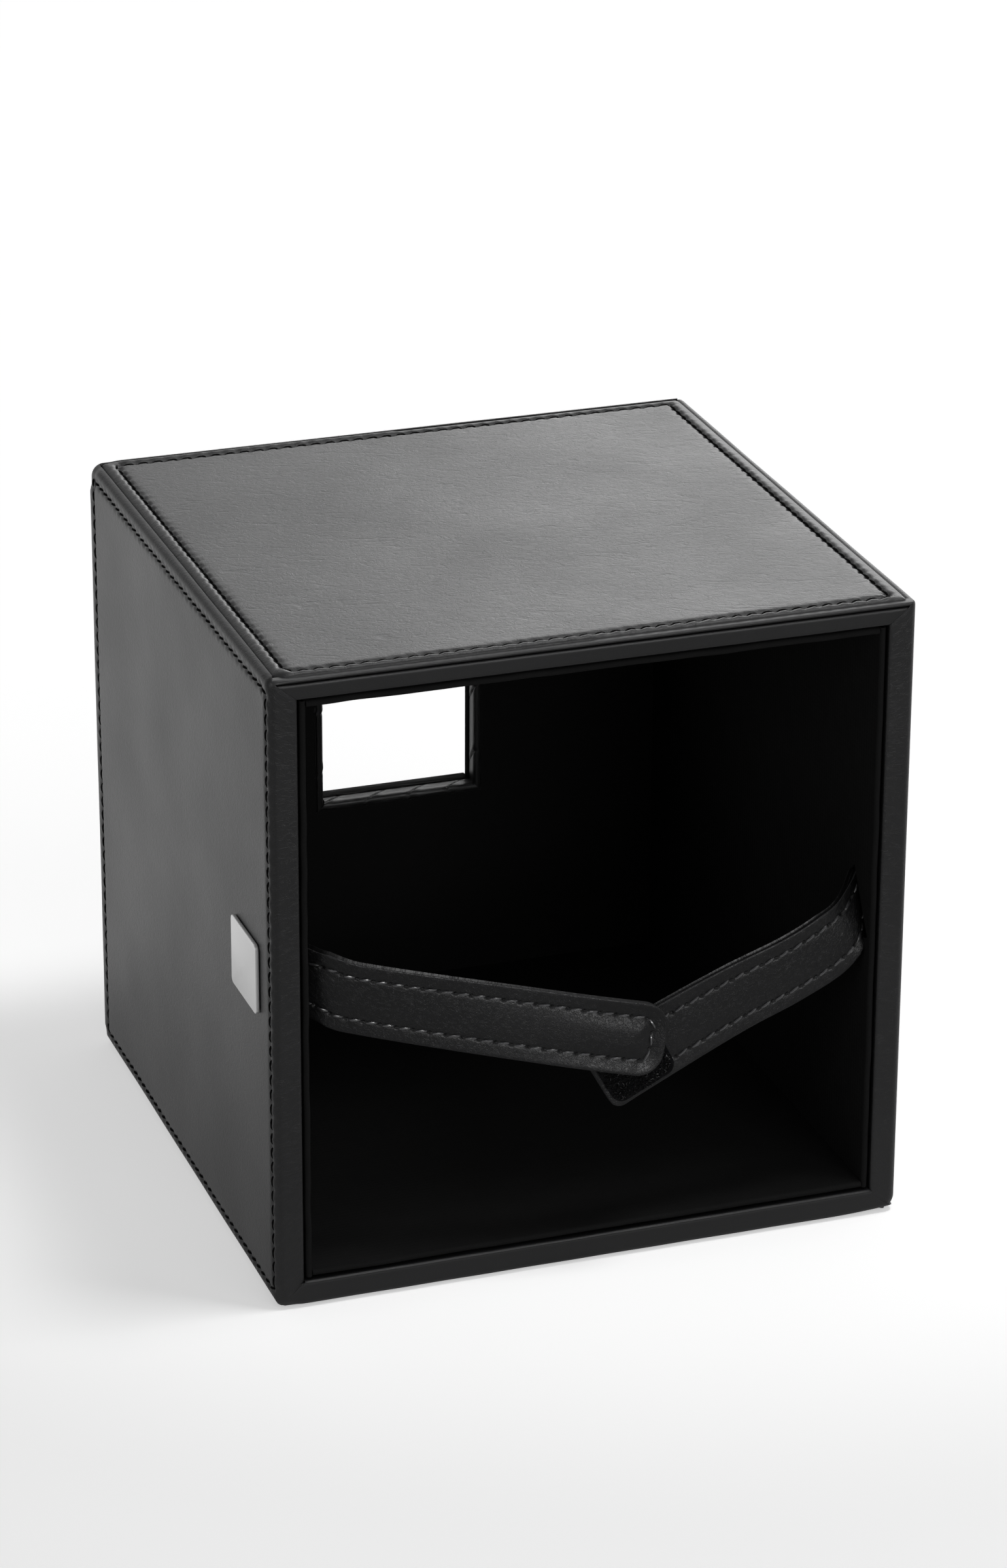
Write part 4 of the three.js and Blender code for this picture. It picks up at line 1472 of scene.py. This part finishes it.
def studio_world():
    # White to the camera; for reflections, a room that is brighter behind and to the right.
    world = bpy.data.worlds.new("Studio")
    bpy.context.scene.world = world
    world.use_nodes = True
    tree = world.node_tree
    tree.nodes.clear()
    direction = node(tree, "ShaderNodeTexCoord").outputs["Generated"]
    bright = Vector((0.75, 0.62, 0.25)).normalized()
    toward = node(tree, "ShaderNodeVectorMath", {0: direction, 1: tuple(bright)},
                  operation="DOT_PRODUCT").outputs["Value"]
    gloss = node(tree, "ShaderNodeMapRange", {
        "Value": toward, "From Min": 0.2, "From Max": 0.95, "To Min": 0.4, "To Max": 1.5,
    }, interpolation_type="SMOOTHSTEP")
    rays = node(tree, "ShaderNodeLightPath").outputs
    mixed = node(tree, "ShaderNodeMix", {
        "Factor": rays["Is Glossy Ray"], "A": 0.2, "B": gloss,
    }, data_type="FLOAT")
    seen = node(tree, "ShaderNodeMath", {
        0: rays["Is Camera Ray"], 1: rays["Is Transmission Ray"],
    }, operation="MAXIMUM")
    strength = node(tree, "ShaderNodeMix", {"Factor": seen, "A": mixed, "B": 1.0},
                    data_type="FLOAT")
    background = node(tree, "ShaderNodeBackground", {
        "Color": (1, 1, 1, 1), "Strength": strength,
    })
    node(tree, "ShaderNodeOutputWorld", {"Surface": background})


# Lights: place, aim, width and height in metres, power in watts, and whether they only add
# sheen. One for sheen adds nothing to matt surfaces, so it casts no shadow on the floor.
LIGHTS = {
    "key": ((0.24, -0.15, 1.1), (0, 0, 0), (0.25, 0.25), 4.6, False),
    "back_right": ((0.62, 0.86, 0.52), (0.04, 0, 0.1), (0.7, 0.6), 3.6, True),
    "left": ((-1.1, -0.85, 0.55), (0, 0, 0.07), (0.5, 0.7), 4.7, True),
    "front": ((0.3, -1.2, 0.5), (0, 0, 0.05), (0.5, 0.3), 7.0, True),
    "front_top": ((0.25, -1.1, 1.2), (0, 0, 0.05), (0.8, 0.6), 1.5, False),
}

# Camera: place in metres, turns about X, Y and Z in degrees, focal length and sensor in mm.
CAMERA_PLACE = (-0.32999, -0.95131, 0.51130)
CAMERA_TURN = (66.7903, -0.2288, -19.2107)
CAMERA_LENS, CAMERA_SENSOR = 119.98, 36


class COVER_OT_stage(bpy.types.Operator):
    """Set the floor, the lights and the camera"""
    bl_idname = "cover.stage"
    bl_label = "Studio floor, lights and camera"

    def execute(self, context):
        start_clean()
        bpy.ops.mesh.primitive_plane_add(size=12, location=(0, 0, 0))
        floor = context.object
        floor.name = floor.data.name = "studio_floor"
        floor.data.materials.append(floor_material())
        studio_world()
        for name, (place, aim, size, power, sheen_only) in LIGHTS.items():
            bpy.ops.object.light_add(type="AREA", location=place)
            light = context.object
            light.name = name
            light.data.shape = "RECTANGLE"
            light.data.size, light.data.size_y = size
            light.data.energy = power
            light.visible_diffuse = not sheen_only
            way = Vector(aim) - Vector(place)
            light.rotation_euler = way.to_track_quat("-Z", "Y").to_euler()
        turn = [math.radians(angle) for angle in CAMERA_TURN]
        bpy.ops.object.camera_add(location=CAMERA_PLACE, rotation=turn)
        camera = context.object
        camera.data.lens = CAMERA_LENS
        camera.data.sensor_width = CAMERA_SENSOR
        camera.data.clip_end = 50
        context.scene.camera = camera
        context.scene.view_settings.view_transform = "Standard"
        return {"FINISHED"}


# ---- Panel and run -------------------------------------------------------------------------
STEPS = ["panels", "sides", "rims", "linings", "window", "strap", "plate", "hidden", "stage"]


class COVER_PT_panel(bpy.types.Panel):
    """Lists the sizes, the colours and the steps"""
    bl_label = "Tissue-box cover"
    bl_idname = "COVER_PT_panel"
    bl_space_type = "VIEW_3D"
    bl_region_type = "UI"
    bl_category = "Cover"

    def draw(self, context):
        for group in (context.scene.cover_sizes, context.scene.cover_colours):
            box = self.layout.box()
            for name in type(group).__annotations__:
                box.prop(group, name)
        for step in STEPS:
            self.layout.operator("cover." + step)


CLASSES = [
    CoverSizes, CoverColours, COVER_OT_panels, COVER_OT_sides, COVER_OT_rims, COVER_OT_linings,
    COVER_OT_window, COVER_OT_strap, COVER_OT_plate, COVER_OT_hidden, COVER_OT_stage,
    COVER_PT_panel,
]


def register():
    for cls in CLASSES:
        bpy.utils.register_class(cls)
    bpy.types.Scene.cover_sizes = bpy.props.PointerProperty(type=CoverSizes)
    bpy.types.Scene.cover_colours = bpy.props.PointerProperty(type=CoverColours)


def unregister():
    del bpy.types.Scene.cover_colours
    del bpy.types.Scene.cover_sizes
    for cls in reversed(CLASSES):
        bpy.utils.unregister_class(cls)


def main():
    register()
    for step in STEPS:
        getattr(bpy.ops.cover, step)()
    start_clean()


if __name__ == "__main__":
    main()
